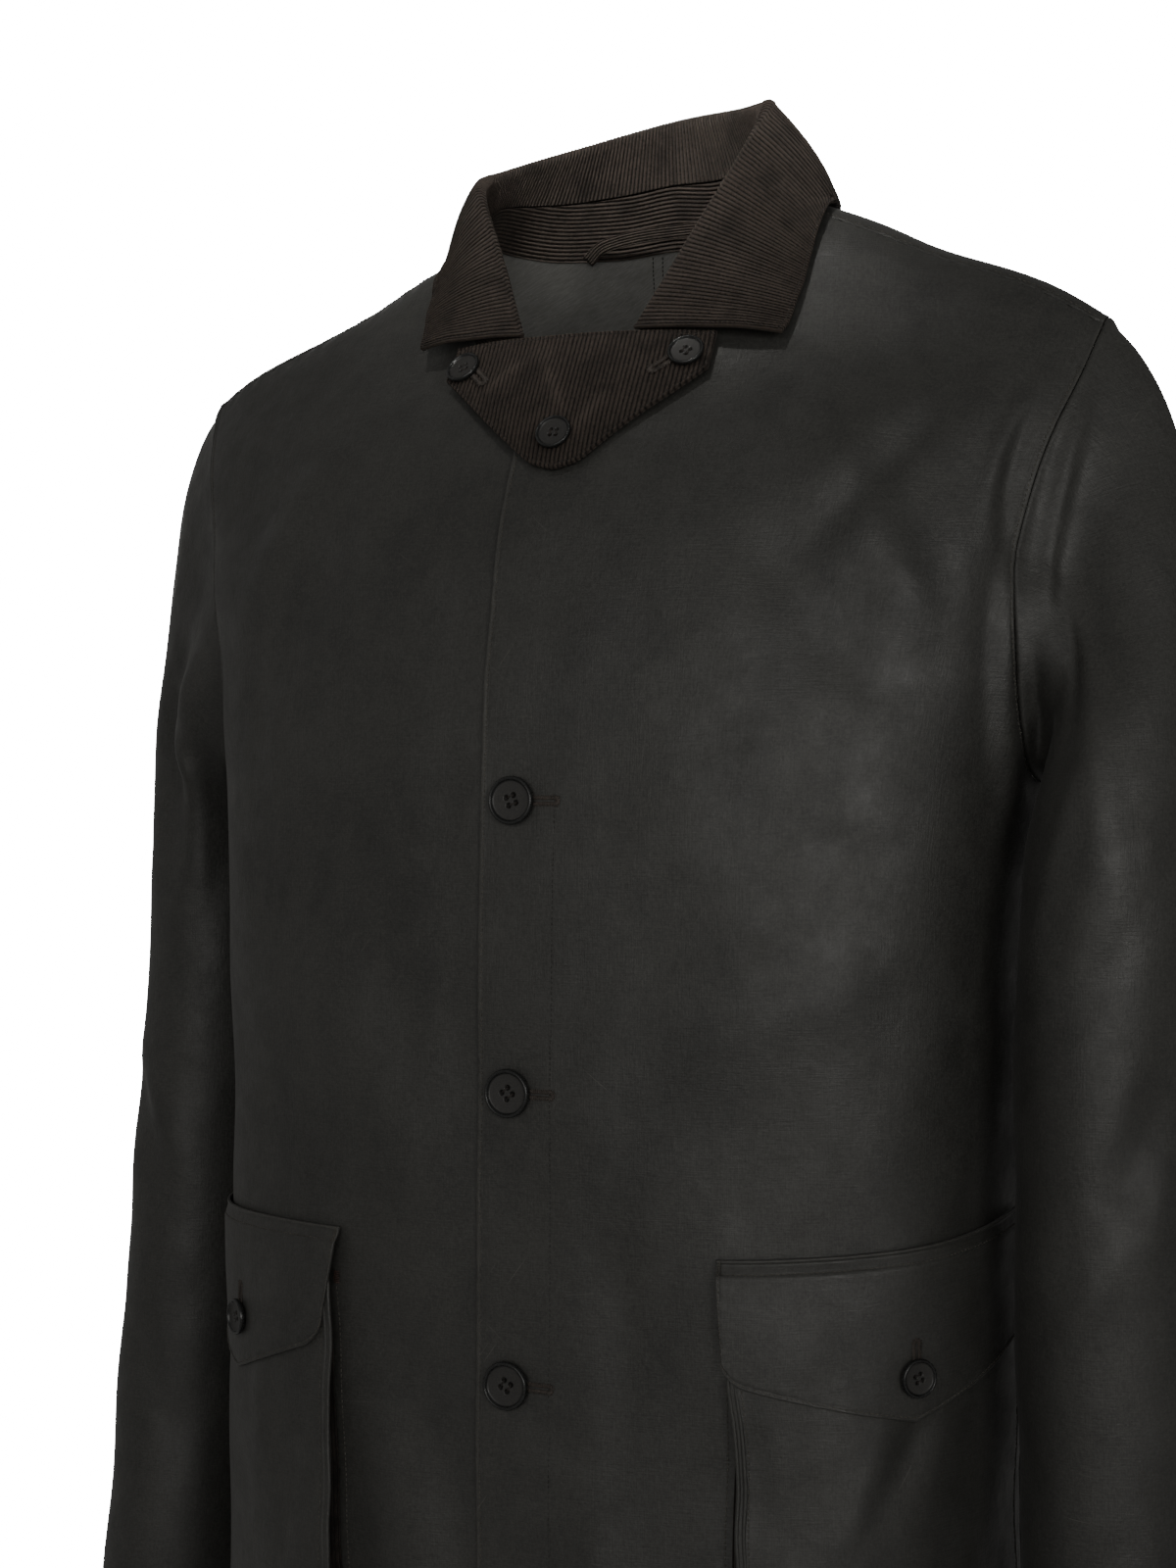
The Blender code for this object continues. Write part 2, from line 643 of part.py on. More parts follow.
def body_side(y, height):
    """How far out the body's side reaches at a place from front to back."""
    face = np.where(y < 0, FRONT, BACK)
    width = smooth(TORSO, HALF_WIDTH, height)
    power = smooth(TORSO, SQUARENESS, height)
    ridge = smooth(RIDGE, RIDGE_HEIGHT, width)
    fall = by_face(RIDGE, FRONT_FALL, BACK_FALL, face, width)
    level = np.clip(1 - (ridge - height) / fall, 0, 1)
    depth = by_face(TORSO, FRONT_DEPTH, BACK_DEPTH, face, height) * np.sqrt(1 - level ** 2)
    share = np.clip(np.abs(y) / np.maximum(depth, SAMPLE_STEP), 0, 1)
    return width * (1 - share ** power) ** (1 / power)


def clear_of_body(points, hand):
    """Moves a sleeve's points out, where they would touch the body."""
    x, y, height = np.moveaxis(points, -1, 0)
    side = body_side(y, height)
    face = np.where(y < 0, FRONT, BACK)
    at = np.stack([hand * side, y, height], axis=-1)
    relief = np.where(face == FRONT, body_relief(at, FRONT), body_relief(at, BACK))
    x = np.maximum(x, side + np.maximum(relief, 0) + SLEEVE_CLEAR)
    return np.stack([x, y, height], axis=-1)


def make_sleeve(name, hand):
    columns = SLEEVE_COLUMNS
    start, out, across = armhole_ring(columns, hand)
    angle = 360 * np.arange(columns) / columns
    turn = np.radians(angle)
    low = (1 - np.cos(turn)) / 2
    underarm = ease((low - UNDERARM_FROM) / (1 - UNDERARM_FROM))[:, None]
    leave = across * (1 - HEAD_TUCK * underarm) + out * underarm
    leave = unit(leave - np.array([0, 0, HEAD_DROOP]) * (1 - underarm))
    start = start + across * GAP
    angle = angle + SLEEVE_TWIST[hand] * low
    turn = np.radians(angle)

    def ring(height):
        half_width = smooth(SLEEVE, SLEEVE_HALF_WIDTH, height)
        half_depth = smooth(SLEEVE, SLEEVE_HALF_DEPTH, height)
        x = smooth(SLEEVE, CENTRE_X[hand], height) + half_width * np.cos(turn)
        y = smooth(SLEEVE, CENTRE_Y[hand], height) - half_depth * np.sin(turn)
        return np.stack([x, y, np.full(columns, height)], axis=-1)

    top = SLEEVE[0][0]
    end = ring(top)
    reach = HEAD_REACH[0] + (HEAD_REACH[1] - HEAD_REACH[0]) * underarm
    longest = HEAD_SHARE * np.linalg.norm(end - start, axis=1, keepdims=True)
    reach, settle = np.minimum(reach, longest), np.minimum(HEAD_SETTLE, longest)
    first, second = start + leave * reach, end + np.array([0, 0, 1]) * settle
    rows = [start]
    first = first + leave * SEAM_LIP
    start = start + leave * SEAM_LIP
    for t in np.linspace(0, 1, SLEEVE_HEAD_ROWS + 1):
        rows.append(start * (1 - t) ** 3 + 3 * first * t * (1 - t) ** 2
                    + 3 * second * t * t * (1 - t) + end * t ** 3)
    for height in np.linspace(top, CUFF[hand], SLEEVE_ROWS + 1)[1:]:
        rows.append(ring(height))
    outer = np.stack(rows)
    seam_fade = ease((np.arange(len(rows)) - 1) / SEAM_ROWS)[:, None]
    relief = sleeve_relief(angle[None, :], outer[..., 2], hand) * seam_fade
    outer = outer + tube_normal(outer) * relief[..., None]
    outer[2:] = clear_of_body(outer[2:], hand)
    normal = tube_normal(outer)
    over = np.sum(normal[0] * across, axis=1, keepdims=True)
    normal[0] = unit(normal[0] - across * np.maximum(over, 0))
    inner = outer - normal * CLOTH
    finish(wall(name, mirrored(outer, hand), mirrored(inner, hand), wrap=True), WAXED_COTTON)


def neck_seam(station):
    """The neckline at a collar station, and the way up out of the cloth's edge."""
    hand = np.where(station < 0, -1, 1)
    far = np.abs(station)
    behind = far <= SEAM_STATION
    ends = []
    for step in (-SAMPLE_STEP, 0, SAMPLE_STEP):
        fraction = np.clip(1 - (far + step) / SEAM_STATION, 0, 1)
        x = smooth(NECK_BACK, 1, fraction)
        drop = smooth(NECK_BACK, 2, fraction)
        height = bare_torso(around_at(x, 0.0), drop, BACK)[..., 2]
        back, back_out = torso(hand * around_at(x, height), drop, BACK)
        turn = (far + step - SEAM_STATION) / (1 - SEAM_STATION)
        turn = np.clip(turn, 0, 1) * math.acos(COLLAR_FRONT_X / NECK_HALF_WIDTH)
        x, height = neck_curve(turn)
        drop = np.maximum(drop_at(x, height, FRONT), SHOULDER_SEAM)
        front, front_out = torso(hand * around_at(x, height), drop, FRONT)
        ends.append((np.where(behind[:, None], back, front),
                     np.where(behind[:, None], back_out, front_out)))
    along = unit(ends[2][0] - ends[0][0]) * hand[:, None]
    point, out = ends[1]
    return point, unit(np.cross(along, out))


def collar_line(station, columns):
    return np.stack([smooth(COLLAR, column, station) for column in columns], axis=-1)


def thicken(middle, thickness):
    """The two faces of a wall about a grid of its middle points."""
    across = np.gradient(middle, axis=1)
    down = np.gradient(middle, axis=0)
    out = unit(np.cross(down, across))
    return middle + out * thickness / 2, middle - out * thickness / 2


def rest_on_front(points, resting):
    """Moves points forward, where they would sink into the front, to lie on it."""
    x, y, height = points.T
    below = np.minimum(height - LEAF_REST[0], smooth(RIDGE, RIDGE_HEIGHT, np.abs(x)))
    surface, _ = on_face(x, below, FRONT)
    clear = np.minimum(y, surface[:, 1] - LEAF_REST[1])
    return np.stack([x, y + (clear - y) * resting, height], axis=-1)


def make_collar():
    station = np.linspace(-1, 1, COLLAR_COLUMNS + 1)
    base, rise = neck_seam(station)
    fold = collar_line(station, (FOLD_X, FOLD_Y, FOLD_Z))
    edge = collar_line(station, (EDGE_X, EDGE_Y, EDGE_Z))
    up = unit(fold - base)
    along = np.gradient(fold, axis=0)
    aside = unit(np.cross(along, up))
    aside = aside * np.sign(np.sum(aside[:, :2] * fold[:, :2], axis=1, keepdims=True))
    inside = unit(-base * np.array([1, 1, 0]))
    base = base + rise * STAND_CLEAR + inside * (CORDUROY / 2 + GAP)
    core = fold - up * FOLD_RADIUS
    top_in = core - aside * FOLD_RADIUS
    top_out = core + aside * FOLD_RADIUS

    def band(share):
        return base + (top_in - base) * share

    stand = np.stack([band(share) for share in np.linspace(0, BAND_SEAM, STAND_ROWS + 1)])
    height = np.linalg.norm(top_in - base, axis=1, keepdims=True)
    start = BAND_SEAM + BAND_GAP / height
    rows = [band(start + (1 - start) * share) for share in np.linspace(0, 1, BAND_ROWS + 1)]
    rows += [core + up * FOLD_RADIUS]
    for share in np.linspace(0, 1, LEAF_ROWS + 1):
        bulge = LEAF_BULGE * 4 * share * (1 - share)
        row = top_out + (edge - top_out) * share + aside * bulge
        resting = ease((np.abs(station) - LEAF_FREE[0]) / (LEAF_FREE[1] - LEAF_FREE[0]))
        rows.append(rest_on_front(row, resting))
    finish(wall("collar_stand", *thicken(stand, CORDUROY)), CORDUROY_COLOUR)
    finish(wall("collar_fall", *thicken(np.stack(rows), CORDUROY)), CORDUROY_COLOUR)


def tab_lift(height):
    share = ease((TAB_TOP[0] - height) / (TAB_TOP[0] - TAB_TIP))
    return TAB_LIFT[0] + (TAB_LIFT[1] - TAB_LIFT[0]) * share


def make_tab():
    share = np.linspace(-1, 1, TAB_COLUMNS + 1)
    x = TAB_CENTRE + TAB_HALF_WIDTH * share
    top = TAB_TOP[0] + (TAB_TOP[1] - TAB_TOP[0]) * share ** 2
    turns = (x[0], TAB_TIP_X - TAB_TIP_HALF, TAB_TIP_X, TAB_TIP_X + TAB_TIP_HALF, x[-1])
    shoulder = TAB_TIP + TAB_TIP_ROUND
    bottom = np.interp(x, turns, (TAB_END, shoulder, TAB_TIP, shoulder, TAB_END))
    share = np.linspace(0, 1, TAB_ROWS + 1)[:, None]
    height = top + (bottom - top) * share
    x = np.broadcast_to(x, height.shape)
    inner, _ = on_face(x, height, FRONT, tab_lift(height))
    outer, _ = on_face(x, height, FRONT, tab_lift(height) + CORDUROY)
    finish(wall("throat_tab", outer, inner), CORDUROY_COLOUR)


def around_girth(girth):
    """The angle around the body at a distance along its girth."""
    around = np.linspace(0, 1, GIRTH_SAMPLES)
    x, share = section(around, np.full(GIRTH_SAMPLES, GIRTH_HEIGHT))
    y = smooth(TORSO, FRONT_DEPTH, GIRTH_HEIGHT) * share
    length = np.append(0, np.cumsum(np.hypot(np.diff(x), np.diff(y))))
    return np.interp(girth, length, around)


def on_girth(girth, height, hand, lift):
    """A point of the front given by its distance along the girth and its height."""
    around = around_girth(girth + PANEL_SHIFT[hand])
    x, _ = section(around, height)
    return torso(hand * around, drop_at(x, height, FRONT), FRONT, lift)


def pocket_lift(girth, height, hand):
    """How far the pocket's cloth stands off the front, under its inner face."""
    across = (girth - POCKET_START) / POCKET_WIDTH
    down = np.clip((POCKET_TOP - height) / (POCKET_TOP - POCKET_BOTTOM), 0, 1)
    full, flat = POCKET_FULL[hand]
    standing = 1 - ease((across - full) / (flat - full))
    opened = POCKET_TOP_SHARE + (1 - POCKET_TOP_SHARE) * down ** POCKET_CURVE
    return POCKET_FLAT + POCKET_SWELL[hand] * standing * opened


def pocket_stations():
    return POCKET_START + np.linspace(0, POCKET_WIDTH, POCKET_COLUMNS + 1)


def make_pocket(name, hand):
    girth, height = np.meshgrid(pocket_stations(), np.linspace(POCKET_TOP, POCKET_BOTTOM, POCKET_ROWS + 1))
    lift = pocket_lift(girth, height, hand)
    inner, _ = on_girth(girth, height, hand, lift)
    outer, _ = on_girth(girth, height, hand, lift + CLOTH)
    finish(wall(name, outer, inner), WAXED_COTTON)


def make_gusset(name, hand):
    """The pleated side of the pocket: a strip down its front edge and along its
    bottom, from the front of the jacket out to the pocket's cloth."""
    front_edge_girth = POCKET_START + POCKET_EDGE
    low = POCKET_BOTTOM + POCKET_EDGE
    down = np.linspace(GUSSET_TOP, low, POCKET_ROWS + 1)
    along = pocket_stations()
    along = along[(along > front_edge_girth) & (along < POCKET_START + POCKET_WIDTH * GUSSET_END[hand])]
    girth = np.append(np.full(len(down), front_edge_girth), along)
    height = np.append(down, np.full(len(along), low))
    turned = np.arange(len(girth)) >= len(down) - 1
    straight = np.arange(len(girth)) <= len(down) - 1
    inner_girth = girth + CLOTH * straight
    inner_height = height + CLOTH * turned
    lean = GUSSET_LEAN * straight * (GUSSET_TOP - height) / (GUSSET_TOP - low)
    rings = []
    for ring_girth, ring_height in ((girth, height), (inner_girth, inner_height)):
        top = pocket_lift(ring_girth, ring_height, hand) - GUSSET_CLEAR
        foot = ring_girth - lean
        rings.append(on_girth(foot, ring_height, hand, np.full(len(girth), GUSSET_SEAT))[0])
        rings.append(on_girth(ring_girth, ring_height, hand, top)[0])
    outer = np.stack(rings[:2])
    inner = np.stack(rings[2:])
    finish(wall(name, outer, inner), GUSSET_COLOUR)


def flap_edges(girth, hand):
    """The heights of a flap's top and bottom edges."""
    share = (girth - FLAP_START) / FLAP_WIDTH
    top = FLAP_TOP[0] + (FLAP_TOP[1] - FLAP_TOP[0]) * share ** FLAP_TOP_CURVE
    depth = FLAP_END + FLAP_POINT * np.interp(share, (0, FLAP_TIP[hand], 1), (0, 1, 0))
    corner = np.clip(1 - np.minimum(share, 1 - share) / FLAP_CORNER[0], 0, 1)
    return top, top - depth + FLAP_CORNER[1] * (1 - np.sqrt(1 - corner ** 2))


def flap_lift(girth, height, hand):
    top, _ = flap_edges(girth, hand)
    over = pocket_lift(girth, height, hand) + CLOTH + FLAP_CLEAR
    return POCKET_FLAT + (over - POCKET_FLAT) * ease((top - height) / FLAP_HINGE)


def make_flap(name, hand):
    stations = pocket_stations()
    girth = np.concatenate([[FLAP_START], stations, [FLAP_START + FLAP_WIDTH]])
    top, bottom = flap_edges(girth, hand)
    share = np.append([0, FLAP_HINGE_SHARE], np.linspace(FLAP_HINGE_SHARE, 1, FLAP_ROWS + 1)[1:])[:, None]
    height = top + (bottom - top) * share
    girth = np.broadcast_to(girth, height.shape)
    lift = flap_lift(girth, height, hand)
    inner, _ = on_girth(girth, height, hand, lift)
    outer, _ = on_girth(girth, height, hand, lift + CLOTH)
    finish(wall(name, outer, inner), WAXED_COTTON)


def make_loop():
    """A strip of corduroy that arches between its two sewn ends."""
    path = np.array(LOOP_PATH)
    along = unit(np.gradient(path, axis=0))
    inward = unit(-path * np.array([1, 1, 0]))
    across = unit(np.cross(along, inward))
    half = across * LOOP_WIDTH / 2
    outer = np.stack([path - half, path + half])
    finish(wall("hanger_loop", outer, outer + inward * LOOP_CLOTH), CORDUROY_COLOUR)


def make_button(name, seat, out, diameter):
    """A turned button with a raised rim, its back on the seat."""
    radius, depth = diameter / 2, diameter * BUTTON_DEPTH
    aside = unit(np.cross(out, np.array([0, 0, 1.0])))
    upward = np.cross(aside, out)
    turn = np.arange(BUTTON_SEGMENTS) / BUTTON_SEGMENTS * 2 * math.pi
    spoke = np.cos(turn)[:, None] * aside + np.sin(turn)[:, None] * upward
    points = []
    for radius_share, depth_share in BUTTON_PROFILE[1:-1]:
        points.append(seat + spoke * radius * radius_share + out * depth * depth_share)
    rings = len(points)
    points = np.vstack(points + [seat + out * depth * BUTTON_PROFILE[0][1],
                                 seat + out * depth * BUTTON_PROFILE[-1][1]])
    back, front = len(points) - 2, len(points) - 1
    faces = []
    for j in range(BUTTON_SEGMENTS):
        k = (j + 1) % BUTTON_SEGMENTS
        faces.append((back, j, k))
        for ring in range(rings - 1):
            a, b = ring * BUTTON_SEGMENTS + j, ring * BUTTON_SEGMENTS + k
            faces += [(a, a + BUTTON_SEGMENTS, b), (b, a + BUTTON_SEGMENTS, b + BUTTON_SEGMENTS)]
        last = (rings - 1) * BUTTON_SEGMENTS
        faces.append((front, last + k, last + j))
    finish(solid(name, points, faces), HORN)


def make_buttons():
    for number, height in enumerate(FRONT_BUTTON_HEIGHTS, 1):
        lift = LAP_SHIFT + BUTTON_CLEARANCE
        seat, out = on_face(np.zeros(1), np.full(1, height), FRONT, lift)
        make_button(f"front_button_{number}", seat[0], out[0], FRONT_BUTTON)
    for number, (x, height) in enumerate(TAB_BUTTONS, 1):
        lift = tab_lift(height) + CORDUROY + BUTTON_CLEARANCE
        seat, out = on_face(np.full(1, x), np.full(1, height), FRONT, lift)
        make_button(f"tab_button_{number}", seat[0], out[0], SMALL_BUTTON)
    for name, hand in (("pocket_button_left", 1), ("pocket_button_right", -1)):
        girth = np.full(1, FLAP_START + FLAP_WIDTH * FLAP_TIP[hand])
        height = np.full(1, POCKET_BUTTON_HEIGHT)
        lift = flap_lift(girth, height, hand) + CLOTH + BUTTON_CLEARANCE
        seat, out = on_girth(girth, height, hand, lift)
        make_button(name, seat[0], out[0], SMALL_BUTTON)


def clear_scene():
    for item in list(bpy.data.objects):
        bpy.data.objects.remove(item, do_unlink=True)


def main():
    clear_scene()
    make_back_panel()
    for side, hand in (("left", 1), ("right", -1)):
        make_front(f"front_{side}", hand)
        make_sleeve(f"sleeve_{side}", hand)
        make_pocket(f"pocket_{side}", hand)
        make_gusset(f"pocket_gusset_{side}", hand)
        make_flap(f"pocket_flap_{side}", hand)
    make_collar()
    make_tab()
    make_loop()
    make_buttons()


main()
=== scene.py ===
"""The looks of a hip-length waxed cotton jacket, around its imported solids.

Metres, +Z up. +X is the wearer's left and -Y the front. The cloth follows the same
tables and formulas as the solids, on finer grids, and adds creases, rolled edges,
stitching, corduroy wales, buttonholes and turned buttons.
"""
import math
import bpy
import numpy as np
from mathutils import Matrix


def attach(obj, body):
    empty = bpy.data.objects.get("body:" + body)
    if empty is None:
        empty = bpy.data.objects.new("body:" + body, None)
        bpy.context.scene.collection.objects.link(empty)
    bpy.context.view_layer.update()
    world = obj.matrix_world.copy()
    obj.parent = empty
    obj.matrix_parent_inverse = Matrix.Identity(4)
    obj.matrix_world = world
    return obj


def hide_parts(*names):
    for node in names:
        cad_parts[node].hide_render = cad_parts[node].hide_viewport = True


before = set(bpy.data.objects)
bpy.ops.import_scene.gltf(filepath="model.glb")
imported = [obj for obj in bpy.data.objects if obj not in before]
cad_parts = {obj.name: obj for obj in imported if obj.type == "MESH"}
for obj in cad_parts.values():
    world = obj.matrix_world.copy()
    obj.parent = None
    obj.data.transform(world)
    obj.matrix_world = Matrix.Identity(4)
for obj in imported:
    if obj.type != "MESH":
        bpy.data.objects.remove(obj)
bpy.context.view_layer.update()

# Cloth
CLOTH = 0.0012
CORDUROY = 0.002
GAP = 0.0004
SEAM_TURN = 0.0003
HALF_TURN = math.pi / 2
SAMPLE_STEP = 1e-3
SOLVE_PASSES = 14
FRONT, BACK = -1, 1
SIDES = {1: "left", -1: "right"}

# Body, from the shoulders down. Squareness 2 is an ellipse, more is boxier.
HEM = -0.79
UNDERARM = -0.275
TORSO = (
    # height, half width, front depth, back depth, squareness
    (0.06, 0.262, 0.086, 0.092, 2.4),
    (0.0, 0.262, 0.087, 0.098, 2.4),
    (-0.055, 0.262, 0.09, 0.106, 2.5),
    (-0.106, 0.251, 0.116, 0.117, 2.6),
    (-0.15, 0.24, 0.127, 0.125, 2.6),
    (-0.2, 0.228, 0.133, 0.129, 2.6),
    (-0.275, 0.215, 0.138, 0.13, 2.7),
    (-0.35, 0.2095, 0.141, 0.128, 2.8),
    (-0.45, 0.207, 0.143, 0.126, 2.8),
    (-0.6, 0.206, 0.144, 0.13, 2.8),
    (-0.79, 0.208, 0.144, 0.136, 2.8),
)
HALF_WIDTH, FRONT_DEPTH, BACK_DEPTH, SQUARENESS = 1, 2, 3, 4
RIDGE = (
    # from centre, height, front fall, back fall
    (0.0, 0.044, 0.3, 0.14),
    (0.05, 0.032, 0.3, 0.14),
    (0.083, 0.02, 0.3, 0.14),
    (0.111, 0.0105, 0.3, 0.14),
    (0.178, -0.0185, 0.3, 0.14),
    (0.229, -0.039, 0.3, 0.14),
    (0.25, -0.052, 0.3, 0.14),
    (0.275, -0.072, 0.3, 0.14),
)
RIDGE_HEIGHT, FRONT_FALL, BACK_FALL = 1, 2, 3
LOW_SHOULDER = 0.018
LOW_REACH = 0.07
SHOULDER_SEAM = 0.122

# Neckline
NECK_HALF_WIDTH = 0.083
NECK_FRONT = -0.071
NECK_TILT = 0.016
NECK_BACK = (
    # fraction, from centre, drop behind the ridge
    (0.0, 0.083, -0.122),
    (0.15, 0.0835, 0.0),
    (0.35, 0.078, 0.16),
    (0.55, 0.062, 0.3),
    (0.78, 0.034, 0.41),
    (1.0, 0.0, 0.455),
)

# Armhole, from the shoulder seam down to the underarm
ARMHOLE_FRONT = (
    # fraction, around, drop
    (0.0, 0.762, 0.122),
    (0.1, 0.742, 0.3),
    (0.22, 0.714, 0.445),
    (0.36, 0.712, 0.55),
    (0.49, 0.722, 0.638),
    (0.6, 0.742, 0.705),
    (0.74, 0.8, 0.785),
    (0.88, 0.895, 0.853),
    (1.0, 1.0, 0.877),
)
ARMHOLE_BACK = (
    # fraction, around, drop
    (0.0, 0.762, -0.122),
    (0.13, 0.768, 0.15),
    (0.28, 0.762, 0.45),
    (0.48, 0.758, 0.75),
    (0.66, 0.772, 0.96),
    (0.8, 0.825, 1.045),
    (0.91, 0.905, 1.088),
    (1.0, 1.0, 1.103),
)

# Front edges
LAP = 0.017
LAP_SHIFT = 0.0013
LAP_FADE = (0.024, 0.06)
LAP_CALM = (0.02, 0.05)

# Panels, in cells of the looks, which are finer than the solids' cells
FINE = 5
FRONT_COLUMNS = 16 * FINE
BACK_COLUMNS = 24 * FINE
BEND_FADE = 3
NECK_ROWS = 8 * FINE
NECK_COLUMNS = 4 * FINE
ARMHOLE_ROWS = 12 * FINE
SIDE_ROWS = 13 * FINE
PANEL_LENGTH = 0.8
FRONT_WIDTH = 0.3
BACK_WIDTH = 0.56
CHEST_LINE = -0.285

# Sleeves
SLEEVE = (
    # height, left x, left y, right x, right y, half width, half depth
    (-0.312, 0.2625, -0.028, 0.259, 0.04, 0.045, 0.066),
    (-0.4, 0.261, -0.032, 0.259, 0.034, 0.046, 0.065),
    (-0.5, 0.263, -0.036, 0.263, 0.024, 0.047, 0.062),
    (-0.6, 0.266, -0.04, 0.268, 0.016, 0.046, 0.058),
    (-0.745, 0.273, -0.048, 0.277, 0.003, 0.0435, 0.0525),
)
CUFF = {1: -0.732, -1: -0.745}
CENTRE = {1: (1, 2), -1: (3, 4)}
SLEEVE_HALF_WIDTH, SLEEVE_HALF_DEPTH = 5, 6
SLEEVE_COLUMNS = 24 * FINE
SLEEVE_HEAD_ROWS = 8 * FINE
SLEEVE_ROWS = 11 * FINE
SLEEVE_LENGTH = 0.42
HEAD_LINES = (0.004, 0.01)
SLEEVE_TWIST = {1: 20.0, -1: -22.0}
SLEEVE_ROUND = 0.057
HEAD_REACH = (0.055, 0.03)
HEAD_SETTLE = 0.11
HEAD_SHARE = 0.45
HEAD_DROOP = 0.1
HEAD_TUCK = 0.75
UNDERARM_FROM = 1 / 3
SEAM_SHARE = 3 / 8
CREASE_SHARE = 0.07
SEAM_LIP = 0.0018
SLEEVE_CLEAR = 0.0016
CLEAR_SHARE = 1 / 8
CLEAR_FROM = 0.06
CLEAR_BLEND = 0.2
EVEN_PASSES = 2
EVEN_COLUMNS = 4
EVEN_SHARE = 0.03
EVEN_FROM = 0.02
EVEN_BLEND = 0.06

# Large folds, as in the solids
FOLD_FADE = (2.5, 0.2)
BODY_FOLDS = (
    # face, x from, z from, x to, z to, half width, height
    (FRONT, 0.19, -0.215, 0.135, -0.105, 0.013, 0.005),
    (FRONT, 0.165, -0.235, 0.105, -0.15, 0.016, -0.004),
    (FRONT, 0.15, -0.3, 0.085, -0.42, 0.026, 0.0035),
    (FRONT, 0.035, -0.58, 0.055, -0.74, 0.022, 0.004),
    (FRONT, -0.185, -0.21, -0.13, -0.11, 0.014, 0.004),
    (FRONT, -0.16, -0.24, -0.11, -0.16, 0.016, -0.0035),
    (FRONT, -0.12, -0.33, -0.06, -0.47, 0.026, 0.0035),
    (FRONT, -0.04, -0.58, -0.058, -0.75, 0.022, 0.0045),
    (BACK, 0.185, -0.225, 0.12, -0.115, 0.015, 0.005),
    (BACK, -0.185, -0.22, -0.115, -0.12, 0.015, 0.0045),
    (BACK, 0.09, -0.3, 0.07, -0.64, 0.03, 0.006),
    (BACK, -0.08, -0.28, -0.1, -0.6, 0.03, 0.0055),
    (BACK, 0.02, -0.42, 0.01, -0.76, 0.026, -0.005),
)
SLEEVE_FOLDS = (
    # hand, angle from, z from, angle to, z to, half width, height
    (1, 100.0, -0.16, 78.0, -0.33, 0.012, 0.003),
    (1, 125.0, -0.23, 105.0, -0.38, 0.014, -0.0012),
    (1, 40.0, -0.4, 80.0, -0.47, 0.014, -0.004),
    (1, 300.0, -0.2, 270.0, -0.35, 0.016, 0.005),
    (-1, 60.0, -0.2, 90.0, -0.34, 0.014, -0.0055),
    (-1, 110.0, -0.18, 95.0, -0.36, 0.014, 0.005),
    (-1, 45.0, -0.43, 85.0, -0.5, 0.014, -0.004),
    (-1, 290.0, -0.22, 265.0, -0.37, 0.016, 0.005),
)

# Finer creases of the body's cloth, each a curve through three points of the face,
# a soft ridge (positive) or trough (negative)
CREASES = (
    # face, x, z from, x, z through, x, z to, half width, height
    (FRONT, 0.224, -0.087, 0.2105, -0.122, 0.207, -0.165, 0.005, 0.0024),
    (FRONT, 0.2225, -0.096, 0.215, -0.13, 0.215, -0.175, 0.0036, -0.0018),
    (FRONT, 0.13, -0.172, 0.158, -0.134, 0.194, -0.083, 0.009, -0.0024),
    (FRONT, 0.12, -0.15, 0.148, -0.112, 0.179, -0.07, 0.012, 0.002),
    (FRONT, 0.196, -0.13, 0.2, -0.18, 0.203, -0.25, 0.009, 0.0016),
    (FRONT, 0.2165, -0.172, 0.2118, -0.226, 0.2125, -0.31, 0.004, 0.0075),
    (FRONT, 0.013, -0.293, 0.023, -0.299, 0.036, -0.302, 0.0045, -0.0009),
    (FRONT, 0.01, -0.406, 0.019, -0.399, 0.03, -0.396, 0.005, 0.0009),
    (FRONT, 0.011, -0.429, 0.025, -0.439, 0.042, -0.445, 0.005, -0.001),
    (FRONT, 0.011, -0.568, 0.026, -0.58, 0.045, -0.588, 0.006, -0.0012),
    (FRONT, -0.018, -0.255, -0.022, -0.285, -0.02, -0.32, 0.006, 0.0012),
    (FRONT, 0.03, -0.17, 0.07, -0.21, 0.1, -0.27, 0.012, -0.001),
    (FRONT, -0.04, -0.16, -0.08, -0.2, -0.105, -0.27, 0.012, 0.001),
    (FRONT, 0.045, -0.47, 0.056, -0.52, 0.06, -0.59, 0.011, -0.0011),
    (FRONT, -0.006, -0.5755, 0.0084, -0.588, 0.0215, -0.601, 0.0055, 0.0016),
    (FRONT, -0.006, -0.592, 0.008, -0.602, 0.0215, -0.611, 0.0045, -0.001),
    (FRONT, -0.004, -0.605, 0.01, -0.613, 0.023, -0.6215, 0.0055, 0.0014),
    (FRONT, -0.072, -0.56, -0.066, -0.6046, -0.059, -0.67, 0.012, 0.0024),
    (FRONT, -0.048, -0.33, -0.04, -0.4, -0.03, -0.47, 0.01, 0.001),
    (FRONT, 0.06, -0.33, 0.05, -0.39, 0.034, -0.45, 0.012, 0.0012),
    (FRONT, 0.175, -0.26, 0.14, -0.285, 0.1, -0.295, 0.011, -0.0016),
    (FRONT, 0.19, -0.33, 0.16, -0.365, 0.12, -0.385, 0.012, 0.0014),
    (FRONT, -0.175, -0.26, -0.145, -0.285, -0.105, -0.298, 0.011, -0.0016),
    (BACK, 0.2, -0.14, 0.201, -0.19, 0.195, -0.25, 0.008, 0.0022),
    (BACK, -0.2, -0.145, -0.2, -0.19, -0.195, -0.245, 0.008, 0.0022),
    (BACK, 0.13, -0.26, 0.06, -0.29, -0.01, -0.28, 0.012, 0.0018),
    (BACK, -0.15, -0.36, -0.09, -0.39, -0.02, -0.385, 0.012, -0.0018),
    (BACK, 0.17, -0.45, 0.12, -0.49, 0.05, -0.5, 0.012, 0.0016),
    (BACK, -0.03, -0.03, -0.01, -0.045, 0.03, -0.04, 0.008, 0.0014),
)
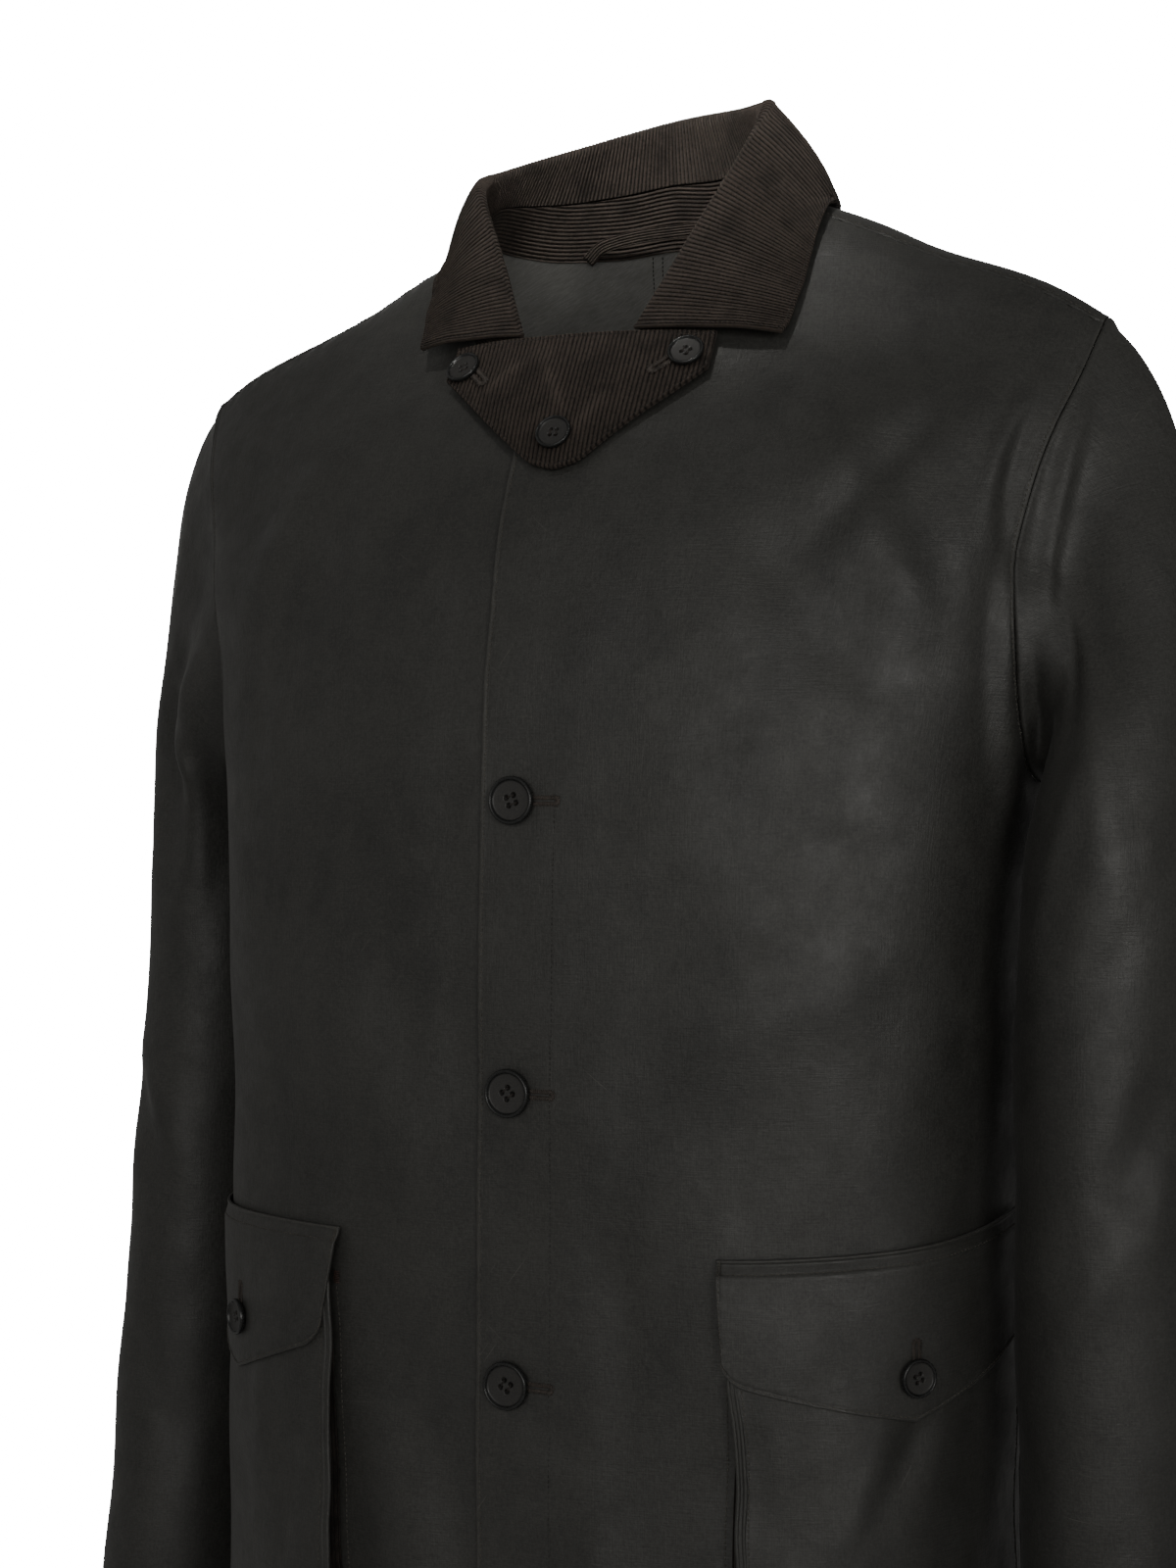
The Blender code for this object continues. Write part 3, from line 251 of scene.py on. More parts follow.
# Finer creases of the sleeves, each through three points
SLEEVE_CREASES = (
    # hand, x, y, z from, x, y, z through, x, y, z to, half width, height
    (1, 0.2425, -0.0229, -0.0845, 0.2344, -0.0417, -0.1432, 0.225, -0.053, -0.2285, 0.0055, 0.0048),
    (1, 0.249, -0.026, -0.1, 0.243, -0.052, -0.155, 0.235, -0.068, -0.23, 0.0065, -0.0012),
    (1, 0.225, -0.052, -0.202, 0.2215, -0.05, -0.245, 0.218, -0.04, -0.31, 0.0085, -0.009),
    (1, 0.262, -0.085, -0.25, 0.245, -0.088, -0.3, 0.23, -0.08, -0.36, 0.008, 0.002),
    (1, 0.285, -0.085, -0.33, 0.26, -0.095, -0.37, 0.235, -0.085, -0.39, 0.008, -0.002),
    (1, 0.29, -0.07, -0.47, 0.265, -0.096, -0.5, 0.24, -0.09, -0.545, 0.009, 0.0022),
    (1, 0.295, -0.06, -0.6, 0.27, -0.096, -0.62, 0.245, -0.092, -0.66, 0.008, -0.0016),
    (-1, -0.2695, -0.0153, -0.2033, -0.2473, -0.0329, -0.2778, -0.2455, -0.0262, -0.3315,
     0.006, 0.0034),
    (-1, -0.276, -0.01, -0.23, -0.256, -0.032, -0.295, -0.248, -0.029, -0.37, 0.007, -0.0024),
    (-1, -0.29, 0.0, -0.42, -0.27, -0.026, -0.45, -0.245, -0.03, -0.5, 0.009, 0.0022),
    (-1, -0.298, 0.0, -0.56, -0.275, -0.04, -0.59, -0.25, -0.04, -0.64, 0.009, -0.0018),
    (1, 0.27, 0.03, -0.28, 0.25, 0.036, -0.33, 0.24, 0.03, -0.38, 0.009, 0.0024),
    (-1, -0.27, 0.1, -0.3, -0.25, 0.104, -0.35, -0.24, 0.095, -0.41, 0.009, 0.0024),
)
CREASE_SAMPLES = 9
# Slow unevenness of all the waxed cloth
WAVER = (
    # along x, y, z in radians a metre, phase, height
    (48.0, 31.0, 22.0, 0.4, 0.0005),
    (-29.0, 40.0, 57.0, 1.9, 0.00045),
    (83.0, -52.0, 36.0, 3.1, 0.00022),
    (-66.0, -75.0, 90.0, 5.0, 0.0002),
    (120.0, 98.0, -61.0, 2.2, 0.00012),
)

# Edges: a rolled edge, a line of stitches that sinks in, and puckers beside it
EDGE_LINES = (0.0003, 0.0007, 0.0012, 0.0017, 0.0022, 0.0028, 0.0036, 0.005)
EDGE_TURN = 0.0004
EDGE_ROLL = 0.00025
GROOVE = 0.00022
GROOVE_WIDTH = 0.0006
EDGE_STITCH = 0.0021
FACING = 0.0009
FACING_REACH = 0.0035
PUCKER = 0.00022
PUCKER_REACH = 0.006
PUCKER_LENGTHS = (0.0071, 0.0113)
ROLL_PUCKER = 0.3
SEAM_DIP = 0.0008
HEM_STITCH = 0.014
CUFF_STITCH = 0.014
# How rubbed edges are, and how far in
FRONT_WEAR = (0.55, 0.0012)
HEM_WEAR = (0.5, 0.0014)
ARMHOLE_WEAR = (0.3, 0.0014)
CUFF_WEAR = (0.55, 0.0016)
BAG_WEAR = (0.25, 0.0012)
FOOT_WEAR = (0.2, 0.0014)
FLAP_WEAR = (0.1, 0.0009)
PLACKET_X = 0.0212

# Collar, a station for each place along it, from the right front end (-1)
# over the centre back (0) to the left front end (1)
COLLAR = (
    # station, fold x, y, z, edge x, y, z
    (-1.0, -0.0318, -0.065, -0.052, -0.0877, -0.066, -0.057),
    (-0.88, -0.05, -0.051, -0.012, -0.092, -0.048, -0.033),
    (-0.74, -0.0695, -0.036, 0.026, -0.0945, -0.024, -0.01),
    (-0.62, -0.077, -0.019, 0.037, -0.096, -0.001, 0.0045),
    (-0.46, -0.076, 0.004, 0.0455, -0.095, 0.026, 0.003),
    (-0.22, -0.047, 0.043, 0.0635, -0.062, 0.066, 0.004),
    (0.0, 0.0, 0.058, 0.076, 0.0, 0.081, 0.008),
    (0.22, 0.039, 0.047, 0.076, 0.059, 0.069, 0.009),
    (0.46, 0.068, 0.011, 0.069, 0.101, 0.029, 0.014),
    (0.62, 0.0805, -0.018, 0.0595, 0.111, 0.001, 0.015),
    (0.74, 0.0715, -0.035, 0.031, 0.112, -0.024, -0.008),
    (0.88, 0.051, -0.051, -0.012, 0.111, -0.048, -0.036),
    (1.0, 0.0318, -0.065, -0.052, 0.1075, -0.066, -0.06),
)
FOLD_X, FOLD_Y, FOLD_Z, EDGE_X, EDGE_Y, EDGE_Z = 1, 2, 3, 4, 5, 6
SEAM_STATION = 0.45
COLLAR_FRONT_X = 0.032
LEAF_BULGE = 0.0035
LEAF_FREE = (0.48, 0.64)
LEAF_REST = (0.003, 0.0032)
LEAF_CURLS = (
    # station, half width, how far the edge curls out
    (-0.99, 0.03, 0.003),
    (-0.9, 0.035, 0.001),
    (-0.8, 0.045, 0.0022),
    (-0.6, 0.06, 0.0012),
    (0.7, 0.06, 0.0014),
    (0.83, 0.04, 0.0004),
    (0.91, 0.03, 0.0018),
    (1.0, 0.025, 0.0026),
)
LEAF_WAVE = 0.0012
LEAF_WAVE_TURN = 11
LEAF_WAVE_REACH = 0.05
BAND_SEAM = 0.52
BAND_GAP = 0.001
STAND_TUCK = 0.002
FOLD_RADIUS = 0.0026
COLLAR_STATIONS = 161
FALL_COLUMNS = 1100
BAND_ROWS = 7
FOLD_ROWS = 4
LEAF_ROWS = 14
STAND_COLUMNS = 150
STAND_ROWS = 56
# Lengths and heights that the edges' closer lines go by
STAND_SIZE = (0.44, 0.03)
BAND_HEIGHT = 0.024
LEAF_SIZE = (0.47, 0.062)
WALE = 0.0021
STAND_WALE = 0.0022
TAB_WALE = 0.0023
LOOP_WALE = 0.0014
WALE_HEIGHT = 0.00062
WALE_POWER = 0.7

# Throat tab, seen square on: from centre, then the heights of its edges
TAB_CENTRE = 0.0035
TAB_HALF_WIDTH = 0.0695
TAB_TIP_X = 0.008
TAB_TIP_HALF = 0.013
TAB_TOP = (-0.057, -0.06)
TAB_END = -0.078
TAB_TIP = -0.1265
TAB_TIP_ROUND = 0.0035
TAB_COLUMNS = 330
TAB_ROWS = 28
TAB_DEPTH = 0.06
TAB_LIFT = (0.0044, 0.0034)
TAB_SLANT = 0.04
TAB_ROUNDING = 15
TAB_CREASES = (
    # x, z from, x, z through, x, z to, half width, height
    (-0.0165, -0.066, -0.002, -0.085, 0.0116, -0.105, 0.0032, 0.0011),
    (-0.014, -0.068, -0.029, -0.078, -0.042, -0.091, 0.0034, 0.0009),
    (-0.045, -0.082, -0.033, -0.098, -0.018, -0.11, 0.004, -0.0007),
    (0.03, -0.09, 0.02, -0.101, 0.013, -0.114, 0.004, 0.0006),
)

# Patch pockets, along the body's girth from the centre front
GIRTH_HEIGHT = -0.6
GIRTH_SAMPLES = 181
GRAIN_DEPTH = 0.1
PANEL_SHIFT = {1: 0.004, -1: -0.004}
FLAP_START = 0.098
FLAP_WIDTH = 0.18
FLAP_TOP = -0.49
FLAP_RISE = {1: 0.013, -1: -0.0035}
FLAP_END = 0.055
FLAP_POINT = 0.024
FLAP_TIP = {1: 0.5, -1: 0.4}
FLAP_TOP_CURVE = 1.5
FLAP_CORNER = (0.065, 0.0085)
FLAP_COLUMNS = 88
FLAP_ROWS = 44
FLAP_DEPTH = 0.07
POCKET_START = 0.104
POCKET_WIDTH = 0.169
POCKET_TOP = -0.5
POCKET_BOTTOM = -0.72
POCKET_COLUMNS = 66
POCKET_ROWS = 76
POCKET_FLAT = 0.0016
POCKET_FULL = {1: (0.25, 0.9), -1: (0.0, 0.6)}
POCKET_SWELL = {1: 0.011, -1: 0.014}
POCKET_TOP_SHARE = 0.12
POCKET_CURVE = 0.8
POCKET_EDGE = 0.003
GUSSET_TOP = -0.515
GUSSET_END = {1: 0.6, -1: 0.36}
GUSSET_LEAN = 0.006
GUSSET_SEAT = 0.0012
GUSSET_CLEAR = 0.0005
GUSSET_ROWS = 8
GUSSET_COLUMNS = 120
FLAP_CLEAR = 0.0007
FLAP_HINGE = 0.009
POCKET_CREASES = (
    # hand, x, z from, x, z through, x, z to, half width, height
    (1, 0.19, -0.545, 0.18, -0.58, 0.164, -0.615, 0.0075, -0.0026),
    (1, 0.175, -0.56, 0.168, -0.595, 0.152, -0.625, 0.008, 0.0024),
    (1, 0.12, -0.56, 0.123, -0.59, 0.126, -0.62, 0.008, -0.0022),
    (1, 0.14, -0.66, 0.165, -0.68, 0.19, -0.675, 0.009, 0.002),
    (-1, -0.15, -0.56, -0.142, -0.595, -0.15, -0.64, 0.009, 0.0022),
    (-1, -0.125, -0.59, -0.12, -0.62, -0.128, -0.66, 0.008, -0.002),
)
FLAP_LEAN = {1: 0.0035, -1: 0.0065}
FOOT_LEAN = {1: 0.4, -1: 0.7}
BAG_SUNK = (-0.53, 0.19)
BAG_WAVER = 0.0006
CREASE_STAND = 0.004
GUSSET_SAG = 0.0018
GUSSET_SHIFTED = 0.03
FOOT_STITCH = 0.0035
BAG_LEAN = {1: (0.0, 0.0, 0.005), -1: (-0.003, -0.0095, 0.0)}
PIPE_STITCH = 0.0056
PIPING = 0.001
PIPING_PLACES = ((0.0003, 0.0002), (0.0034, 0.0004))
FLAP_STITCH = 0.0017
WELT_STITCH = 0.0068
WELT_LINES = (0.006, 0.0064, 0.0068, 0.0072, 0.0077, 0.0085)
WELT = {1: 0.0007, -1: 0.0003}
WELT_PLACE = 0.0006
WELT_WIDTH = 0.0009
STRIP_SUNK = 0.0003
BUTTON_PULL = (0.001, 0.012, 0.01)

# Hanger loop, inside the back neck
LOOP_PATH = (
    # x, y, z
    (-0.0481, 0.0492, 0.004),
    (-0.0395, 0.0492, 0.011),
    (-0.022, 0.0508, 0.015),
    (0.0, 0.0514, 0.0165),
    (0.022, 0.0506, 0.0165),
    (0.0385, 0.0484, 0.0145),
    (0.047, 0.048, 0.009),
)
LOOP_WIDTH = 0.007
LOOP_CLOTH = 0.0018
LOOP_COLUMNS = 90
LOOP_ROWS = 24

# Buttons
FRONT_BUTTON = 0.023
SMALL_BUTTON = 0.018
BUTTON_DEPTH = 0.17
BUTTON_SPOKES = 64
FRONT_BUTTON_HEIGHTS = (-0.282, -0.419, -0.556, -0.693)
BUTTON_PROFILE = (
    # place along the profile, radius, height, as shares of radius and depth
    (0.0, 0.0, 0.0),
    (1.0, 0.86, 0.0),
    (1.35, 0.965, 0.16),
    (1.7, 1.0, 0.45),
    (2.05, 0.992, 0.78),
    (2.4, 0.955, 0.96),
    (2.75, 0.915, 1.0),
    (3.1, 0.87, 0.95),
    (3.3, 0.835, 0.78),
    (3.5, 0.8, 0.63),
    (3.75, 0.74, 0.6),
    (4.3, 0.5, 0.57),
    (5.0, 0.0, 0.54),
)
# Where its rings of points lie along the profile, and where its top begins
BUTTON_RINGS = ((0.3, 4.3, 34), (4.3, 4.97, 22))
BUTTON_TOP = 2.75
HOLE_PLACE = 0.17
HOLE_RADIUS = 0.1
HOLE_DEPTH = 0.55
HOLE_FLOOR = 0.06
DISH_RADIUS = 0.83
DISH_EDGE = 0.06
BUTTON_CLEARANCE = 0.0006
TAB_BUTTONS = (
    # x, height
    (-0.0565, -0.073),
    (0.061, -0.0712),
    (0.0056, -0.1095),
)
POCKET_BUTTON_HEIGHT = -0.544

# Thread
STITCH_PITCH = 0.0025
STITCH_LENGTH = 0.0018
THREAD = 0.0003
FLAP_TACK = 0.002
STITCH_SIDES = 5
THREAD_LIFT = 0.0001
STITCH_RINGS = (
    # share of half its length, share of its radius, rise in radii
    (-1.0, 0.45, -0.9),
    (-0.6, 1.0, 0.2),
    (0.6, 1.0, 0.2),
    (1.0, 0.45, -0.9),
)
# A button's thread, across from hole to hole: place in hole distances, share of the depth
THREAD_PATH = ((-1.15, 0.15), (-0.5, 0.53), (0.0, 0.53), (0.5, 0.53), (1.15, 0.15))
THREAD_SHIFT = 0.00022
# Worked buttonholes: distance between stitches, where they start, and their rise
HOLE_PITCH = 0.00052
HOLE_START = 0.45
HOLE_RISE = 0.0003

# The camera, which looks a little down at the jacket from its left front
YAW = math.radians(24.59)
PITCH = math.radians(1.02)
CAMERA_DISTANCE = 1.374
CAMERA_HEIGHT = -0.252
CAMERA_ASIDE = -0.023
FOCAL_PIXELS = 2712.0
IMAGE_HEIGHT = 1600.0
SENSOR = 36.0
FLOOR_HEIGHT = -0.8
FLOOR_RADIUS = 0.42
FLOOR_CORNERS = 96
AMBIENT = 0.2
BACKDROP = 24.0
FLOOR_GLOW = 2.4
LIGHTS = (
    # name, position, target, size, watts, spread in degrees
    ("key", (1.95, -1.95, 0.05), (0.17, -0.1, -0.05), (0.8, 1.0), 1.4, 46),
    ("front", (0.5, -3.0, 0.1), (0.0, 0.0, -0.45), (2.0, 1.8), 18, 180),
    ("side", (-2.2, -1.0, 0.4), (-0.2, 0, -0.35), (0.8, 2.0), 1.6, 180),
    ("neck", (0.08, -0.8, 1.1), (0.0, 0.055, 0.0), (0.15, 0.15), 0.2, 13),
    ("behind", (-1.3, 2.5, 0.15), (0, 0.1, -0.3), (2.2, 2.0), 33, 180),
)
LIGHT_TINT = (1.0, 0.985, 0.95)


# ---------------------------------------------------------------- the cloth's shape

def smooth(table, column, at):
    """A column of a table at a value of its first column, on a smooth curve."""
    rows = np.array(sorted(table))
    knots, values = rows[:, 0], rows[:, column]
    slopes = np.gradient(values, knots)
    at = np.clip(at, knots[0], knots[-1])
    index = np.clip(np.searchsorted(knots, at) - 1, 0, len(knots) - 2)
    span = knots[index + 1] - knots[index]
    t = (at - knots[index]) / span
    rise = values[index] * (1 + 2 * t) * (1 - t) ** 2
    rise += values[index + 1] * t * t * (3 - 2 * t)
    rise += span * t * (1 - t) * (slopes[index] * (1 - t) - slopes[index + 1] * t)
    return rise


def ease(value):
    """0 below 0, 1 above 1 and a soft S between."""
    value = np.clip(value, 0, 1)
    return value * value * (3 - 2 * value)


def unit(vectors):
    length = np.linalg.norm(vectors, axis=-1, keepdims=True)
    return vectors / np.maximum(length, 1e-12)


def bell(value, width):
    """1 at 0, falling to nothing a few widths away on both sides."""
    return np.exp(-(value / width) ** 2)


def signed_power(value, power):
    return np.sign(value) * np.abs(value) ** power


def section(around, height):
    """Half-width and depth share of the body at an angle around it."""
    power = 2 / smooth(TORSO, SQUARENESS, height)
    width = smooth(TORSO, HALF_WIDTH, height)
    x = width * signed_power(np.sin(around * HALF_TURN), power)
    return x, signed_power(np.cos(around * HALF_TURN), power)


def low_shoulder(x, drop):
    """How much lower the right shoulder is carried."""
    reach = 1 - bell(np.minimum(x, 0), LOW_REACH)
    return LOW_SHOULDER * reach * (1 - ease(drop))


def by_face(table, front_column, back_column, face, at):
    front = smooth(table, front_column, at)
    return np.where(face == FRONT, front, smooth(table, back_column, at))


def bare_torso(around, drop, face):
    """The unfolded body: around is 0 at the centre and 1 at the side seam; drop
    is 0 on the shoulder ridge, 1 where the cloth hangs, then metres below that.
    A drop below 0 lies on the other face."""
    around, drop = np.broadcast_arrays(np.asarray(around, float), np.asarray(drop, float))
    face = np.where(drop < 0, -face, face)
    depth_drop = np.abs(drop)
    turn = np.minimum(depth_drop, 1) * HALF_TURN
    height = np.full(around.shape, UNDERARM)
    for _ in range(SOLVE_PASSES):
        x, share = section(around, height)
        fall = by_face(RIDGE, FRONT_FALL, BACK_FALL, face, np.abs(x))
        height = smooth(RIDGE, RIDGE_HEIGHT, np.abs(x)) - fall * (1 - np.cos(turn))
        height = height - low_shoulder(x, depth_drop)
        height = height - np.maximum(depth_drop - 1, 0)
    depth = by_face(TORSO, FRONT_DEPTH, BACK_DEPTH, face, height)
    return np.stack([x, face * depth * share * np.sin(turn), height], axis=-1)


def along_fold(x, z, row):
    """How strongly a fold's line is felt at a point, 0 to 1."""
    start, end = np.array(row[0:2]), np.array(row[2:4])
    run = end - start
    length = np.hypot(*run)
    share = ((x - start[0]) * run[0] + (z - start[1]) * run[1]) / length ** 2
    off = ((x - start[0]) * run[1] - (z - start[1]) * run[0]) / length
    beyond = np.maximum(np.maximum(-share, share - 1), 0) * length
    rate, start_fade = FOLD_FADE
    fade = ease(share * rate + start_fade) * ease((1 - share) * rate + start_fade)
    return np.exp(-(off ** 2 + beyond ** 2) / row[4] ** 2) * fade


def near_curve(points, line, half_width):
    """How strongly a crease through three points is felt at each point, 0 to 1."""
    start, through, end = np.reshape(line, (3, -1))
    handle = 2 * through - (start + end) / 2
    t = np.linspace(0, 1, CREASE_SAMPLES)[:, None]
    line = start * (1 - t) ** 2 + 2 * handle * t * (1 - t) + end * t * t
    best = np.full(points.shape[:-1], 1e9)
    place = np.zeros(points.shape[:-1])
    for index, (a, b) in enumerate(zip(line, line[1:])):
        run = b - a
        share = np.clip(((points - a) @ run) / (run @ run), 0, 1)
        away = np.linalg.norm(points - a - share[..., None] * run, axis=-1)
        nearer = away < best
        best = np.where(nearer, away, best)
        place = np.where(nearer, (index + share) / (CREASE_SAMPLES - 1), place)
    fade = np.sin(math.pi * np.clip(place, 0.03, 0.97)) ** 0.7
    return bell(best, half_width) * fade


def waver(point):
    """Slow unevenness that no cloth is without."""
    total = np.zeros(point.shape[:-1])
    for kx, ky, kz, phase, height in WAVER:
        bend = 1.3 * np.sin(point[..., 2] * kx * 0.31 + phase)
        total += height * np.sin(point @ np.array([kx, ky, kz]) + phase + bend)
    return total


def body_relief(point, face):
    x, z = point[..., 0], point[..., 2]
    total = np.zeros(x.shape)
    for fold_face, *line, height in BODY_FOLDS:
        if fold_face == face:
            total += height * along_fold(x, z, line)
    calm = ease((np.abs(x) - LAP_CALM[0]) / (LAP_CALM[1] - LAP_CALM[0]))
    total = np.where(face == FRONT, total * calm, total)
    flat = point[..., [0, 2]]
    for crease_face, *line, half_width, height in CREASES:
        if crease_face == face:
            total += height * near_curve(flat, line, half_width)
    return total + waver(point)


def torso(around, drop, face, lift=0.0):
    """A point of the body's outer face, moved out by its folds and by lift, and
    the direction out of the cloth there."""
    step = SAMPLE_STEP
    point = bare_torso(around, drop, face)
    across = bare_torso(around + step, drop, face) - bare_torso(around - step, drop, face)
    down = bare_torso(around, drop + step, face) - bare_torso(around, drop - step, face)
    out = face * unit(np.cross(across, down))
    relief = body_relief(point, face)
    return point + out * (relief + lift)[..., None], out


def around_at(x, height):
    """The angle around the body at which it has a given x."""
    width = smooth(TORSO, HALF_WIDTH, height)
    share = np.clip(np.abs(x) / width, 0, 1) ** (smooth(TORSO, SQUARENESS, height) / 2)
    return np.sign(x) * np.arcsin(share) / HALF_TURN


def drop_at(x, height, face):
    """The drop below the ridge at which the body has a given x and height."""
    fall = by_face(RIDGE, FRONT_FALL, BACK_FALL, face, np.abs(x))
    drop = np.full(np.broadcast(x, height).shape, 0.5)
    for _ in range(SOLVE_PASSES):
        ridge = smooth(RIDGE, RIDGE_HEIGHT, np.abs(x)) - low_shoulder(x, drop)
        share = (ridge - height) / fall
        turned = np.arccos(np.clip(1 - share, -1, 1)) / HALF_TURN
        drop = np.where(share < 1, turned, 1 + (share - 1) * fall)
    return drop


def on_face(x, height, face, lift=0.0):
    """A point of the body's outer face given by x and height."""
    lift = np.broadcast_to(np.asarray(lift, float), np.broadcast(x, height).shape)
    return torso(around_at(x, height), drop_at(x, height, face), face, lift)


def blend_patch(top, bottom, left, right):
    """A grid between four edges, each a list of (around, drop)."""
    across = np.linspace(0, 1, len(top))[None, :, None]
    down = row_shares(left, right)[:, None, None]
    top_bend = top - ((1 - across) * top[0] + across * top[-1])
    bottom_bend = bottom - ((1 - across) * bottom[0] + across * bottom[-1])
    grid = (1 - across) * left[:, None] + across * right[:, None]
    return grid + (1 - down) ** BEND_FADE * top_bend + down ** BEND_FADE * bottom_bend


def girth_table():
    """Angles around the body and the distance along its girth to each."""
    around = np.linspace(0, 1, GIRTH_SAMPLES)
    x, share = section(around, np.full(GIRTH_SAMPLES, GIRTH_HEIGHT))
    y = smooth(TORSO, FRONT_DEPTH, GIRTH_HEIGHT) * share
    return around, np.append(0, np.cumsum(np.hypot(np.diff(x), np.diff(y))))


def cloth_place(around, drop, height, face):
    """Where a point of the body's cloth lies in the flat, its grain upright."""
    angles, lengths = girth_table()
    across = np.sign(around) * np.interp(np.abs(around), angles, lengths)
    turns = np.linspace(0, HALF_TURN, GIRTH_SAMPLES)
    fall = RIDGE[0][FRONT_FALL if face == FRONT else BACK_FALL]
    steps = np.hypot(fall * np.sin(turns), GRAIN_DEPTH * np.cos(turns)) * turns[1]
    surplus = np.cumsum(steps) - fall * (1 - np.cos(turns))
    turn = np.minimum(np.abs(drop), 1) * HALF_TURN
    return np.stack([across, height + surplus[-1] - np.interp(turn, turns, surplus)], axis=-1)


def side_edge(face):
    """The armhole, then the side seam, as (around, drop) down one edge."""
    table = ARMHOLE_FRONT if face == FRONT else ARMHOLE_BACK
    share = np.linspace(0, 1, ARMHOLE_ROWS + 1)
    around, drop = smooth(table, 1, share), smooth(table, 2, share)
    drop[0] += SEAM_TURN
    height = np.linspace(UNDERARM, HEM, SIDE_ROWS + 1)
    depth = by_face(TORSO, FRONT_DEPTH, BACK_DEPTH, face, height)
    power = 2 / smooth(TORSO, SQUARENESS, height)
    edge = np.arccos((GAP / 2 / depth) ** (1 / power)) / HALF_TURN
    x, _ = section(edge, height)
    around[-1] = edge[0]
    seam = np.stack([edge, drop_at(x, height, face)], axis=-1)
    seam[0, 1] = drop[-1]
    return np.vstack([np.stack([around, drop], axis=-1), seam[1:]])


def neck_curve(turn):
    """The front neckline, a quarter of an ellipse that tips down: x and height."""
    top = smooth(RIDGE, RIDGE_HEIGHT, NECK_HALF_WIDTH)
    fall = smooth(RIDGE, FRONT_FALL, NECK_HALF_WIDTH)
    top = top - fall * (1 - math.cos(SHOULDER_SEAM * HALF_TURN))
    x = NECK_HALF_WIDTH * np.cos(turn)
    height = top - (top - NECK_FRONT) * np.sin(np.minimum(turn, HALF_TURN))
    return x, height - NECK_TILT * (NECK_HALF_WIDTH - x) / (NECK_HALF_WIDTH + LAP)


def front_edge(lap):
    """The neckline, then the front edge, which passes the centre by lap."""
    x, height = neck_curve(np.linspace(0, math.acos(-lap / NECK_HALF_WIDTH), NECK_ROWS + 1))
    above = np.linspace(height[-1], CHEST_LINE, ARMHOLE_ROWS - NECK_ROWS + 1)[1:]
    below = np.append(above, np.linspace(CHEST_LINE, HEM, SIDE_ROWS + 1)[1:])
    x = np.append(x, np.full(len(below), -lap))
    height = np.append(height, below)
    drop = drop_at(x, height, FRONT)
    drop[0] = SHOULDER_SEAM + SEAM_TURN
    return np.stack([around_at(x, height), drop], axis=-1)


def back_neck_edge(columns):
    """The back neckline as (around, drop), from the centre out to the seam."""
    share = np.linspace(1, 0, columns + 1)
    x, drop = smooth(NECK_BACK, 1, share), smooth(NECK_BACK, 2, share)
    drop[-1] += SEAM_TURN
    height = bare_torso(around_at(x, 0.0), drop, BACK)[..., 2]
    return np.stack([around_at(x, height), drop], axis=-1)


def seam_points(columns, face):
    """The shoulder seam as (around, drop), from the neck out to the shoulder."""
    drop = SHOULDER_SEAM + SEAM_TURN if face == FRONT else -SHOULDER_SEAM + SEAM_TURN
    start = around_at(NECK_HALF_WIDTH, smooth(RIDGE, RIDGE_HEIGHT, NECK_HALF_WIDTH))
    around = np.linspace(start, ARMHOLE_FRONT[0][1], columns + 1)
    return np.stack([around, np.full(columns + 1, drop)], axis=-1)


def hem_points(around_from, around_to, columns, face):
    around = np.linspace(around_from, around_to, columns + 1)
    x, _ = section(around, HEM)
    return np.stack([around, drop_at(x, HEM, face)], axis=-1)


def row_shares(left, right):
    """How far down each row lies, as a share of both edges' mean length."""
    share = 0
    for edge in (left, right):
        steps = np.linalg.norm(np.diff(edge, axis=0), axis=1)
        share = share + np.append(0, np.cumsum(steps)) / steps.sum() / 2
    return share


def mirrored(points, hand):
    return points * np.array([hand, 1, 1])


def lap_lift(x, hand):
    """The front edges lie on each other: the left one is lifted, the right sunk."""
    share = 1 - ease((hand * x - LAP_FADE[0]) / (LAP_FADE[1] - LAP_FADE[0]))
    return hand * LAP_SHIFT * share


# ---------------------------------------------------------------- grids and edges

def read_lines(grid, at):
    """A grid's rows at places between them."""
    low = np.clip(at.astype(int), 0, len(grid) - 2)
    share = (at - low).reshape((-1,) + (1,) * (grid.ndim - 1))
    return grid[low] * (1 - share) + grid[low + 1] * share


def read_columns(grid, at):
    return np.swapaxes(read_lines(np.swapaxes(grid, 0, 1), at), 0, 1)


def read_run(at, run, values):
    """The rows of values at distances along their run."""
    return np.stack([np.interp(at, run, column) for column in values.T], axis=-1)


def places(cells, length, at_start=True, at_end=True, extra=()):
    """A line for each cell, and closer ones beside the edges that are stitched."""
    near = np.array(EDGE_LINES) * cells / length
    lines = [np.arange(cells + 1.0), np.array(extra) * cells / length]
    if at_start:
        lines.append(near)
    if at_end:
        lines.append(cells - near)
    return np.unique(np.round(np.concatenate(lines), 3))


def edge_shares(cells, length, **settings):
    """The same lines as shares of the whole."""
    return places(cells, length, **settings) / cells


def run_along(points, axis):
    """The distance along a grid's rows or columns from its first line."""
    steps = np.linalg.norm(np.diff(points, axis=axis), axis=-1)
    first = np.zeros_like(np.take(steps, [0], axis=axis))
    return np.concatenate([first, np.cumsum(steps, axis=axis)], axis=axis)


def edge_distances(points):
    """The distances from a grid's first and last row, then its first and last column."""
    down, across = run_along(points, 0), run_along(points, 1)
    return down, down[-1:] - down, across, across[:, -1:] - across


def pucker_waves(along, short_bend, long_bend):
    short, long = PUCKER_LENGTHS
    return (np.sin(2 * math.pi * along / short + 2 * np.sin(along * short_bend)),
            np.sin(2 * math.pi * along / long + 3 * np.sin(along * long_bend)))


